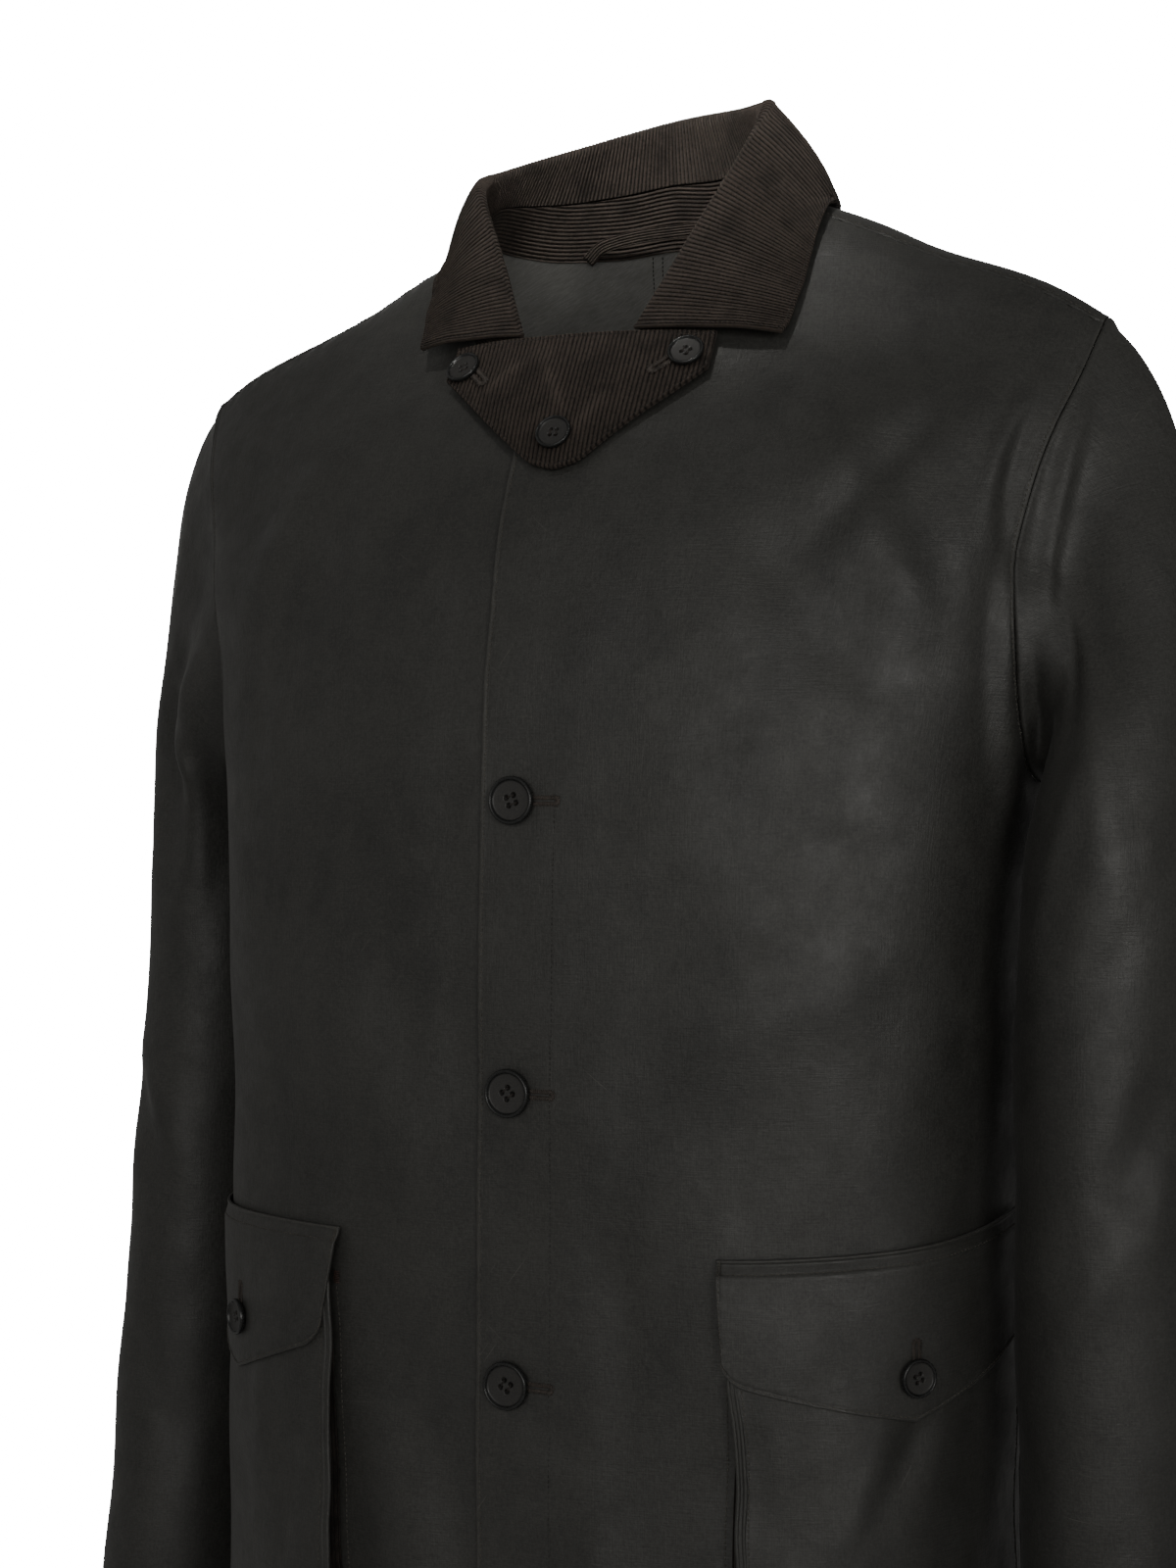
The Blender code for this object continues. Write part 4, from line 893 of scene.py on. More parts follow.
def edge_form(distance, along, stitch=EDGE_STITCH, roll=EDGE_ROLL):
    """How an edge's face rises: a turned edge, a roll up to the stitches, the
    groove that they pull, and the puckers beyond it."""
    turn = 1 - np.clip(distance / EDGE_TURN, 0, 1)
    swell = np.sin(math.pi * np.clip(distance / stitch, 0, 1)) ** 0.5
    beyond = np.clip((distance - stitch) / PUCKER_REACH, 0, 1)
    fade = np.where(distance > stitch, (1 - beyond) ** 2, ROLL_PUCKER)
    short, long = pucker_waves(along, 37, 23)
    rise = roll * swell - EDGE_TURN * turn ** 2
    rise -= GROOVE * bell(distance - stitch, GROOVE_WIDTH)
    rise += PUCKER * (short * 0.6 + long * 0.6) * fade
    return np.where(distance < stitch + PUCKER_REACH, rise, 0)


def seam_form(distance, along):
    """How a panel's face falls into a seam, with puckers beside it."""
    short, long = pucker_waves(along, 41, 29)
    puckers = 1.2 * PUCKER * (long + 0.6 * short) * bell(distance, PUCKER_REACH)
    return puckers - EDGE_TURN * bell(distance, SEAM_DIP)


def line_at(points, distances, wanted, axis):
    """The line across a grid where the distance from an edge is the wanted one."""
    if axis == 0:
        points, distances = np.swapaxes(points, 0, 1), distances.T
    line = []
    for row, run in zip(points, distances):
        order = slice(None) if run[0] < run[-1] else slice(None, None, -1)
        line.append(read_run(wanted, run[order], row[order]))
    return np.array(line)


def stitch_line(shown, out, distance, inside, axis, part=slice(None)):
    """A line of stitches inside an edge, and the directions out of the cloth."""
    return tuple(line_at(grid, distance, inside, axis)[part] for grid in (shown, out))


# ---------------------------------------------------------------- meshes

def add_mesh(name, points, faces, values=None):
    """An object from points and faces, with values at its points for its material."""
    mesh = bpy.data.meshes.new(name)
    mesh.from_pydata(points.tolist(), [], faces)
    for key, value in (values or {}).items():
        kind, field = ("FLOAT_VECTOR", "vector") if value.ndim == 2 else ("FLOAT", "value")
        attribute = mesh.attributes.new(key, kind, "POINT")
        attribute.data.foreach_set(field, value.ravel().astype(np.float32))
    mesh.update()
    mesh.shade_smooth()
    item = bpy.data.objects.new(name, mesh)
    bpy.context.scene.collection.objects.link(item)
    return item


def piece(name, points, faces, stuff, slot, *nodes, values=None):
    """A piece of the jacket, of one material, which stands for the nodes if any are given."""
    item = add_mesh(name, points, faces, values)
    item.data.materials.append(material(stuff))
    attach(item, "root")
    if nodes:
        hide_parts(*nodes)
    return item


def turned_outward(points, faces):
    """The faces, all turned over where they enclose less than nothing."""
    volume = 0
    for second, third in ((1, 2), (2, 3)):
        a, b, c = (points[faces[:, corner]] for corner in (0, second, third))
        volume += np.sum(a * np.cross(b, c))
    return faces[:, ::-1] if volume < 0 else faces


def wall(name, outer, inner, cloth, stuff, slot, node, wear=None, wrap=False, lined=False):
    """A closed wall between two grids of points. cloth holds the flat place of each
    point and wear how rubbed it is."""
    rows, columns = outer.shape[:2]
    behind = rows * columns
    across = np.arange(columns if wrap else columns - 1)
    down = np.arange(rows - 1)[:, None] * columns
    a, b = down + across, down + (across + 1) % columns
    front = np.stack([a, b, b + columns, a + columns], axis=-1).reshape(-1, 4)
    rims = [np.arange(columns), np.arange(columns)[::-1] + (rows - 1) * columns]
    if wrap:
        rims = [np.append(line, line[0]) for line in rims]
    else:
        first = np.arange(rows) * columns
        rims += [first + columns - 1, first[::-1]]
    rims = [np.stack([line[1:], line[:-1], behind + line[:-1], behind + line[1:]], axis=-1)
            for line in rims]
    points = np.vstack([outer.reshape(-1, 3), inner.reshape(-1, 3)])
    faces = turned_outward(points, np.vstack([front, front[:, ::-1] + behind] + rims))
    worn = np.zeros(behind) if wear is None else wear.ravel()
    flat = np.tile(cloth.reshape(-1, 2), (2, 1))
    values = {"cloth": np.pad(flat, ((0, 0), (0, 1))), "wear": np.tile(worn, 2)}
    item = piece(name, points, faces.tolist(), stuff, slot, node, values=values)
    if lined:
        item.data.materials.append(material("lining"))
        index = np.zeros(len(faces), np.int32)
        index[len(front):2 * len(front)] = 1
        item.data.polygons.foreach_set("material_index", index)
    return item


def tube_faces(rings, sides, start=0):
    """The faces of a closed tube of rings of points."""
    last = start + (rings - 1) * sides
    faces = [tuple(range(start, start + sides))[::-1], tuple(range(last, last + sides))]
    for ring in range(start, last, sides):
        for j in range(sides):
            k = (j + 1) % sides
            faces.append((ring + j, ring + k, ring + sides + k, ring + sides + j))
    return faces


def tube(points, outs, radius, sides=10):
    """A round cord along points: its own points and faces."""
    along = unit(np.gradient(points, axis=0))
    side = unit(np.cross(along, outs))
    up = np.cross(side, along)
    turn = np.arange(sides) * 2 * math.pi / sides
    ring = side[:, None] * np.cos(turn)[None, :, None] + up[:, None] * np.sin(turn)[None, :, None]
    placed = (points[:, None] + ring * radius).reshape(-1, 3)
    return placed, tube_faces(len(points), sides)


def join(parts):
    points, faces, total = [], [], 0
    for some, shapes in parts:
        points.append(some)
        faces += [tuple(v + total for v in face) for face in shapes]
        total += len(some)
    return np.vstack(points), faces


def capsules(line, out, pitch, length, radius):
    """Short rounded stitches along a line: their points and faces."""
    run = run_along(line, 0)
    count = int(run[-1] / pitch)
    if count < 1:
        return np.zeros((0, 3)), []
    middle = (np.arange(count) + 0.5) * run[-1] / count
    start, end = (read_run(middle + part, run, line) for part in (-length / 2, length / 2))
    along = unit(end - start)
    side = unit(np.cross(along, unit(read_run(middle, run, out))))
    up = np.cross(side, along)
    centre = read_run(middle, run, line)
    block = []
    for share, width, rise in STITCH_RINGS:
        mid = centre + along * share * length / 2 + up * rise * radius
        for turn in np.arange(STITCH_SIDES) * 2 * math.pi / STITCH_SIDES:
            block.append(mid + (side * math.cos(turn) + up * math.sin(turn)) * radius * width)
    points = np.stack(block, axis=1).reshape(-1, 3)
    faces = []
    for start in range(0, len(points), len(block)):
        faces += tube_faces(len(STITCH_RINGS), STITCH_SIDES, start)
    return points, faces


def sew(name, lines, slot, stuff="thread",
        pitch=STITCH_PITCH, length=STITCH_LENGTH, radius=THREAD):
    """Rows of stitches, each a line of points and the directions out of the cloth."""
    stitches = join([capsules(*line, pitch, length, radius) for line in lines])
    return piece(name, *stitches, stuff, slot)


# ---------------------------------------------------------------- materials

class Shader:
    """A short way to write a material's nodes."""

    def __init__(self, name):
        self.material = bpy.data.materials.new(name)
        self.material.use_nodes = True
        self.tree = self.material.node_tree
        self.shader = self.tree.nodes["Principled BSDF"]
        self.coordinates = self.tree.nodes.new("ShaderNodeTexCoord").outputs["Object"]

    def feed(self, node, inputs):
        for key, value in inputs.items():
            if isinstance(value, bpy.types.NodeSocket):
                self.tree.links.new(value, node.inputs[key])
            else:
                node.inputs[key].default_value = value

    def node(self, kind, inputs=None, **settings):
        made = self.tree.nodes.new(kind)
        for key, value in settings.items():
            setattr(made, key, value)
        self.feed(made, inputs or {})
        return made

    def attribute(self, name, output="Vector"):
        return self.node("ShaderNodeAttribute", attribute_name=name).outputs[output]

    def math(self, operation, a, b=0.0):
        return self.node("ShaderNodeMath", {0: a, 1: b}, operation=operation).outputs[0]

    def times(self, a, b):
        return self.math("MULTIPLY", a, b)

    def noise(self, scale, detail=4.0, roughness=0.55, vector=None, distortion=0.0):
        inputs = {"Vector": vector or self.coordinates, "Scale": scale, "Detail": detail,
                  "Roughness": roughness, "Distortion": distortion}
        return self.node("ShaderNodeTexNoise", inputs).outputs["Fac"]

    def streaks(self, vector, angle, scale, detail):
        """Noise drawn out along one direction of the cloth."""
        inputs = {"Vector": vector, "Angle": math.radians(angle)}
        turned = self.node("ShaderNodeVectorRotate", inputs, rotation_type="Z_AXIS").outputs[0]
        stretched = self.node("ShaderNodeVectorMath", {0: turned, 1: (*scale, 1.0)},
                              operation="MULTIPLY").outputs[0]
        return self.noise(1.0, detail, 0.55, stretched)

    def ramp(self, value, low, high, to_low=0.0, to_high=1.0):
        inputs = {"Value": value, "From Min": low, "From Max": high,
                  "To Min": to_low, "To Max": to_high}
        return self.node("ShaderNodeMapRange", inputs).outputs["Result"]

    def mix(self, factor, a, b):
        return self.node("ShaderNodeMix", {0: factor, 6: a, 7: b}, data_type="RGBA").outputs[2]

    def bump(self, height, distance, strength=1.0, normal=None):
        inputs = {"Height": height, "Distance": distance, "Strength": strength}
        if normal is not None:
            inputs["Normal"] = normal
        return self.node("ShaderNodeBump", inputs).outputs["Normal"]

    def finish(self, **values):
        """Sets the shader's inputs and gives the material."""
        self.feed(self.shader, {key.replace("_", " "): value for key, value in values.items()})
        return self.material


def colour(red, green, blue):
    return (red, green, blue, 1.0)


def waxed_cotton():
    """Dark olive black cotton with a satin of wax, rubbed paler where it bends."""
    s = Shader("waxed_cotton")
    flat = s.attribute("cloth")
    # Slow patches, drags and blotches of the wax
    patches, drag = s.noise(17.0, 5.0, 0.62), s.streaks(flat, 12.0, (46.0, 5.0), 3.0)
    blotches = s.ramp(s.noise(70.0, 5.0, 0.65), 0.42, 0.74)
    base = s.mix(s.ramp(patches, 0.33, 0.68), colour(0.0120, 0.0118, 0.0106),
                 colour(0.0275, 0.0272, 0.0245))
    base = s.mix(s.ramp(drag, 0.42, 0.72, 0.0, 0.40), base, colour(0.034, 0.033, 0.029))
    base = s.mix(s.times(blotches, 0.50), base, colour(0.038, 0.0375, 0.0335))
    # The weave, and the grain of single threads
    warp = s.streaks(flat, 0.0, (1250.0, 110.0), 2.0)
    weft = s.streaks(flat, 0.0, (110.0, 1250.0), 2.0)
    cross = s.math("ADD", s.ramp(warp, 0.30, 0.70), s.ramp(weft, 0.30, 0.70))
    base = s.mix(s.ramp(cross, 0.0, 2.0), s.mix(0.20, base, colour(0.004, 0.004, 0.0037)),
                 s.mix(0.17, base, colour(0.058, 0.057, 0.052)))
    base = s.mix(s.ramp(s.noise(950.0, 3.0, 0.75), 0.40, 0.72, 0.0, 0.34), base,
                 colour(0.070, 0.069, 0.063))
    base = s.mix(s.ramp(s.noise(620.0, 2.0, 0.7), 0.36, 0.56, 0.30, 0.0), base,
                 colour(0.006, 0.006, 0.0054))
    # Scuff marks in three directions, lint, and the rubbed edges
    marks = None
    for angle, fine in ((35.0, 1150.0), (-52.0, 1300.0), (84.0, 1250.0)):
        line = s.ramp(s.streaks(flat, angle, (fine, 26.0), 1.0), 0.735, 0.80)
        marks = line if marks is None else s.math("MAXIMUM", marks, line)
    marks = s.times(s.times(marks, s.ramp(s.noise(24.0, 3.0), 0.48, 0.62)), 0.40)
    lint = s.times(s.ramp(s.noise(1300.0, 1.0), 0.80, 0.86), 0.35)
    rub = s.times(s.attribute("wear", "Fac"), s.ramp(s.noise(260.0, 3.0), 0.3, 0.7, 0.2, 0.9))
    worn = s.math("MAXIMUM", s.math("MAXIMUM", marks, lint), rub)
    base = s.mix(worn, base, colour(0.105, 0.100, 0.088))
    gloss = s.ramp(s.noise(48.0, 5.0, 0.65), 0.3, 0.7, 0.45, 0.64)
    gloss = s.math("ADD", gloss, s.ramp(cross, 0.0, 2.0, 0.04, -0.04))
    uneven = s.bump(s.noise(150.0, 5.0, 0.66), 0.0006, 0.55)
    return s.finish(Base_Color=base, Roughness=gloss, Specular_IOR_Level=0.5, Sheen_Weight=0.04,
                    Sheen_Roughness=0.4, Normal=s.bump(cross, 0.00008, 0.7, uneven))


def lining():
    """The smooth grey cloth that shows inside, flecked with light."""
    s = Shader("lining")
    twill = s.streaks(s.attribute("cloth"), 58.0, (1300.0, 160.0), 2.0)
    flecks = s.ramp(s.noise(1500.0, 2.0), 0.64, 0.74)
    base = s.mix(s.ramp(s.noise(24.0, 4.0), 0.3, 0.7), colour(0.230, 0.229, 0.218),
                 colour(0.360, 0.357, 0.340))
    base = s.mix(s.ramp(twill, 0.35, 0.65, 0.35, 0.0), base, colour(0.08, 0.08, 0.075))
    base = s.mix(s.times(flecks, 0.6), base, colour(0.60, 0.59, 0.55))
    rough = s.ramp(s.noise(60.0, 3.0), 0.3, 0.7, 0.36, 0.48)
    return s.finish(Base_Color=base, Roughness=rough, Normal=s.bump(twill, 0.00012, 0.7))


def pile(name, pitch, dark, light):
    """Corduroy: round wales of short pile, with painted shade in the grooves between them and a
    painted highlight on their crests.
    """
    s = Shader(name)
    across = s.node("ShaderNodeSeparateXYZ", {0: s.attribute("cloth")}).outputs["X"]
    wave = s.math("ABSOLUTE", s.math("COSINE", s.times(across, math.pi / pitch)))
    ridge = s.math("POWER", wave, WALE_POWER)
    nap = s.noise(800.0, 5.0, 0.7)
    tuft = s.math("ADD", ridge, s.ramp(nap, 0.25, 0.75, -0.50, 0.50))
    brushed = s.ramp(s.noise(42.0, 5.0, 0.65), 0.46, 0.74, 0.0, 0.36)
    # Painted shade and highlight: by the wales' height the grooves go to the dark tone and the
    # crests to the light tone
    base = s.mix(s.ramp(tuft, 0.35, 1.15), dark, light)
    paler = s.math("MAXIMUM", brushed, s.attribute("wear", "Fac"))
    base = s.mix(s.times(paler, s.ramp(tuft, 0.25, 0.80)), base, colour(0.082, 0.064, 0.053))
    base = s.mix(s.ramp(s.noise(75.0, 4.0), 0.50, 0.78, 0.0, 0.65), base, dark)
    lint = s.times(s.ramp(s.noise(2100.0, 1.0), 0.76, 0.84), 0.45)
    base = s.mix(lint, base, colour(0.13, 0.105, 0.088))
    rough = s.ramp(nap, 0.3, 0.7, 0.78, 0.96)
    return s.finish(Base_Color=base, Roughness=rough, Specular_IOR_Level=0.2, Sheen_Weight=0.12,
                    Sheen_Roughness=0.5, Sheen_Tint=colour(0.62, 0.54, 0.48),
                    Normal=s.bump(nap, 0.00028, 0.9, s.bump(ridge, 0.00055, 1.0)))


def horn():
    """Polished dark horn with faint streaks, paler and duller in the dish."""
    s = Shader("horn")
    dish = s.attribute("dish", "Fac")
    streaks = s.noise(330.0, 5.0, 0.65, distortion=1.6)
    base = s.mix(s.ramp(streaks, 0.3, 0.7), colour(0.0050, 0.0053, 0.0053),
                 colour(0.0170, 0.0176, 0.0172))
    worked = s.mix(s.ramp(s.noise(1500.0, 4.0, 0.7), 0.35, 0.70), colour(0.012, 0.0112, 0.0105),
                   colour(0.037, 0.0350, 0.0320))
    base = s.mix(s.times(dish, 0.9), base, worked)
    rough = s.math("ADD", s.ramp(s.noise(900.0, 3.0), 0.3, 0.7, 0.22, 0.30), s.times(dish, 0.22))
    return s.finish(Base_Color=base, Roughness=rough, Specular_IOR_Level=0.5,
                    Normal=s.bump(s.noise(1100.0, 4.0, 0.6), 0.00003, 0.5))


def thread(name, dark, light):
    s = Shader(name)
    fibres = s.noise(2600.0, 3.0, 0.6)
    tone = s.mix(s.ramp(s.noise(180.0, 2.0), 0.3, 0.7), dark, light)
    return s.finish(Base_Color=tone, Roughness=s.ramp(fibres, 0.3, 0.7, 0.6, 0.85),
                    Normal=s.bump(fibres, 0.00008, 0.7))


def plain_stage():
    s = Shader("studio_floor")
    grain = s.ramp(s.noise(40.0, 3.0), 0.3, 0.7, 0.84, 0.88)
    grey = s.node("ShaderNodeCombineColor", {0: grain, 1: grain, 2: grain}).outputs[0]
    seen = s.node("ShaderNodeLightPath").outputs["Is Camera Ray"]
    return s.finish(Base_Color=grey, Roughness=0.9, Emission_Color=colour(1, 1, 1),
                    Emission_Strength=s.times(seen, FLOOR_GLOW))


# The grooves' painted shade, and the crests' tone: the pile's colour with a painted highlight
PILE_GROOVE_SHADE = colour(0.0010, 0.0008, 0.0007)
CORDUROY_CREST_HIGHLIGHT = colour(0.050, 0.0385, 0.0315)
PILES = {
    # name: distance between wales, crest tone: the pile's colour with a painted highlight
    "corduroy": (WALE, CORDUROY_CREST_HIGHLIGHT),
    "stand_corduroy": (STAND_WALE, CORDUROY_CREST_HIGHLIGHT),
    "tab_corduroy": (TAB_WALE, CORDUROY_CREST_HIGHLIGHT),
    "loop_corduroy": (LOOP_WALE, CORDUROY_CREST_HIGHLIGHT),
    "brown_pile": (WALE, colour(0.0075, 0.0056, 0.0048)),
}
THREADS = {
    # name: dark tone, light tone
    "thread": (colour(0.030, 0.028, 0.023), colour(0.070, 0.064, 0.053)),
    "dull_thread": (colour(0.012, 0.0115, 0.010), colour(0.026, 0.025, 0.022)),
    "gimp": (colour(0.028, 0.022, 0.018), colour(0.062, 0.050, 0.042)),
    "knot_thread": (colour(0.008, 0.006, 0.005), colour(0.020, 0.014, 0.011)),
    "tack": (colour(0.020, 0.010, 0.007), colour(0.044, 0.020, 0.013)),
}
made_materials = {}


def material(name):
    if name not in made_materials:
        if name in PILES:
            pitch, light = PILES[name]
            made_materials[name] = pile(name, pitch, PILE_GROOVE_SHADE, light)
        elif name in THREADS:
            made_materials[name] = thread(name, *THREADS[name])
        else:
            makers = {"waxed_cotton": waxed_cotton, "lining": lining, "horn": horn}
            made_materials[name] = makers[name]()
    return made_materials[name]


# ---------------------------------------------------------------- the jacket

def shell(outer, out, distances):
    """The inner face of a wall: a cloth's thickness in, more along its facings."""
    thick = CLOTH
    for distance in distances:
        thick = thick + FACING * (1 - ease(distance / FACING_REACH))
    return outer - out * thick[..., None]


def rubbed(distance, wear):
    amount, width = wear
    return amount * bell(distance, width)


def make_front(hand):
    side = SIDES[hand]
    left, right = front_edge(LAP), side_edge(FRONT)
    top = seam_points(FRONT_COLUMNS, FRONT)
    top[0], top[-1] = left[0], right[0]
    bottom = hem_points(left[-1, 0], right[-1, 0], FRONT_COLUMNS, FRONT)
    rows = places(ARMHOLE_ROWS + SIDE_ROWS, PANEL_LENGTH)
    grid = read_lines(blend_patch(top, bottom, left, right), rows)
    grid = read_columns(grid, places(FRONT_COLUMNS, FRONT_WIDTH))
    around, drop = hand * grid[..., 0], grid[..., 1]
    plain = bare_torso(around, drop, FRONT)
    outer, out = torso(around, drop, FRONT, lap_lift(plain[..., 0], hand))
    from_top, from_hem, from_edge, from_side = edge_distances(outer)
    neck_end = np.interp(NECK_ROWS, rows, np.arange(len(rows)))
    below_neck = np.arange(len(rows))[:, None] >= neck_end
    in_armhole = rows[:, None] <= ARMHOLE_ROWS
    rise = np.where(below_neck, edge_form(from_edge, from_top), 0)
    rise += np.where(in_armhole, edge_form(from_side, from_top), seam_form(from_side, from_top))
    rise += seam_form(from_top, from_edge)
    rise += edge_form(from_hem, from_edge, HEM_STITCH, EDGE_ROLL / 2)
    shown = outer + out * rise[..., None]
    inner = shell(outer, out, [np.where(below_neck, from_edge, 1.0), from_hem])
    wear = rubbed(from_edge, FRONT_WEAR) + rubbed(from_hem, HEM_WEAR)
    wear += rubbed(from_side, ARMHOLE_WEAR) * in_armhole
    flat = cloth_place(around, drop, plain[..., 2], FRONT)
    item = wall(f"front_{side}_cloth", shown, inner, flat, "waxed_cotton", "waxed_cotton",
                f"front_{side}", wear, lined=True)
    arm = slice(*np.searchsorted(rows, (ARMHOLE_ROWS * 0.10, ARMHOLE_ROWS)))
    lines = [stitch_line(shown, out, from_hem, HEM_STITCH, 0),
             stitch_line(shown, out, from_side, EDGE_STITCH, 1, arm)]
    if hand > 0:
        below = slice(int(neck_end) + 1, None)
        lines.append(stitch_line(shown, out, from_edge, EDGE_STITCH, 1, below))
        height = np.linspace(FRONT_BUTTON_HEIGHTS[0] + 0.004, HEM + 0.002, 240)
        x = np.full(len(height), PLACKET_X)
        placket = on_face(x, height, FRONT, lap_lift(x, hand) - THREAD_LIFT)
        sew("placket_stitching", [placket], "waxed_cotton", "dull_thread")
    sew(f"front_{side}_stitching", lines, "waxed_cotton")


def make_back():
    half = BACK_COLUMNS // 2
    seam = seam_points(half - NECK_COLUMNS, BACK)
    top = np.vstack([back_neck_edge(NECK_COLUMNS), seam[1:]])
    right = side_edge(BACK)
    top[-1] = right[0]
    bottom = hem_points(0.0, right[-1, 0], half, BACK)
    chest = drop_at(np.zeros(1), CHEST_LINE, BACK)[0]
    drop = np.append(np.linspace(top[0, 1], chest, ARMHOLE_ROWS + 1),
                     np.linspace(chest, bottom[0, 1], SIDE_ROWS + 1)[1:])
    left = np.stack([np.zeros(len(drop)), drop], axis=-1)
    grid = blend_patch(top, bottom, left, right)
    grid = np.concatenate([grid[:, :0:-1] * np.array([-1, 1]), grid], axis=1)
    rows = places(ARMHOLE_ROWS + SIDE_ROWS, PANEL_LENGTH)
    columns = places(BACK_COLUMNS, BACK_WIDTH)
    around, drop = np.moveaxis(read_columns(read_lines(grid, rows), columns), -1, 0)
    outer, out = torso(around, drop, BACK)
    from_top, from_hem, from_left, from_right = edge_distances(outer)
    in_armhole = rows[:, None] <= ARMHOLE_ROWS
    rise = seam_form(from_top, from_left)
    rise += edge_form(from_hem, from_left, HEM_STITCH, EDGE_ROLL / 2)
    for distance in (from_left, from_right):
        rise += np.where(in_armhole, edge_form(distance, from_top), seam_form(distance, from_top))
    shown = outer + out * rise[..., None]
    inner = shell(outer, out, [from_hem])
    flat = cloth_place(around, drop, outer[..., 2], BACK)
    item = wall("back_cloth", shown, inner, flat, "waxed_cotton", "waxed_cotton", "back",
                rubbed(from_hem, HEM_WEAR), lined=True)
    lines = [stitch_line(shown, out, from_hem, HEM_STITCH, 0)]
    arm = slice(np.searchsorted(rows, ARMHOLE_ROWS))
    for distance in (from_left, from_right):
        lines.append(stitch_line(shown, out, distance, EDGE_STITCH, 1, arm))
    neck = np.searchsorted(columns, (half - NECK_COLUMNS, half + NECK_COLUMNS))
    for shoulder in (slice(neck[0]), slice(neck[1], None)):
        lines.append(stitch_line(shown, out, from_top, EDGE_STITCH, 0, shoulder))
    sew("back_stitching", lines, "waxed_cotton")


def armhole_ring(columns, hand):
    """Points of an armhole, the direction out of the cloth, and the way across
    the seam, from the shoulder down the front and up the back. The right one is
    given mirrored, as if it were a left one."""
    share = np.arange(columns) / columns * 2
    in_front = share <= 1
    fraction = np.where(in_front, share, 2 - share)
    rings = []
    for step in (-SAMPLE_STEP, 0, SAMPLE_STEP):
        at = np.clip(fraction + np.where(in_front, step, -step), 0, 1)
        front, back = (torso(hand * smooth(table, 1, at), smooth(table, 2, at), face)
                       for table, face in ((ARMHOLE_FRONT, FRONT), (ARMHOLE_BACK, BACK)))
        rings.append([mirrored(np.where(in_front[:, None], *pair), hand)
                      for pair in zip(front, back)])
    point, out = rings[1]
    return point, out, unit(np.cross(out, unit(rings[2][0] - rings[0][0])))


def sleeve_relief(angle, points, hand, fade):
    """How far a sleeve's folds, creases and unevenness lift its points."""
    height = points[..., 2]
    total = np.zeros(np.broadcast(angle, height).shape)
    for fold_hand, angle_from, z_from, angle_to, z_to, half_width, rise in SLEEVE_FOLDS:
        if fold_hand == hand:
            turned = (angle - (angle_from + angle_to) / 2 + 180) % 360 - 180
            x = np.radians(turned) * SLEEVE_ROUND
            reach = math.radians(angle_to - angle_from) / 2 * SLEEVE_ROUND
            total += rise * along_fold(x, height, (-reach, z_from, reach, z_to, half_width))
    total = total * fade[0]
    placed = mirrored(points, hand)
    for crease_hand, *line, half_width, rise in SLEEVE_CREASES:
        if crease_hand == hand:
            total += fade[1] * rise * near_curve(placed, line, half_width)
    return total + fade[0] * waver(placed)


def tube_normal(points):
    around = np.roll(points, -1, axis=1) - np.roll(points, 1, axis=1)
    return unit(np.cross(around, np.gradient(points, axis=0)))


def body_side(y, height):
    """How far out the body's side reaches at a place from front to back."""
    face = np.where(y < 0, FRONT, BACK)
    width = smooth(TORSO, HALF_WIDTH, height)
    power = smooth(TORSO, SQUARENESS, height)
    ridge = smooth(RIDGE, RIDGE_HEIGHT, width)
    fall = by_face(RIDGE, FRONT_FALL, BACK_FALL, face, width)
    level = np.clip(1 - (ridge - height) / fall, 0, 1)
    depth = by_face(TORSO, FRONT_DEPTH, BACK_DEPTH, face, height) * np.sqrt(1 - level ** 2)
    share = np.clip(np.abs(y) / np.maximum(depth, SAMPLE_STEP), 0, 1)
    return width * (1 - share ** power) ** (1 / power)


def clear_of_body(points, hand):
    """Moves a sleeve's points out, where they would touch the body."""
    x, y, height = np.moveaxis(points, -1, 0)
    side = body_side(y, height)
    at = np.stack([hand * side, y, height], axis=-1)
    relief = np.where(y < 0, body_relief(at, FRONT), body_relief(at, BACK))
    x = np.maximum(x, side + np.maximum(relief, 0) + SLEEVE_CLEAR)
    return np.stack([x, y, height], axis=-1)


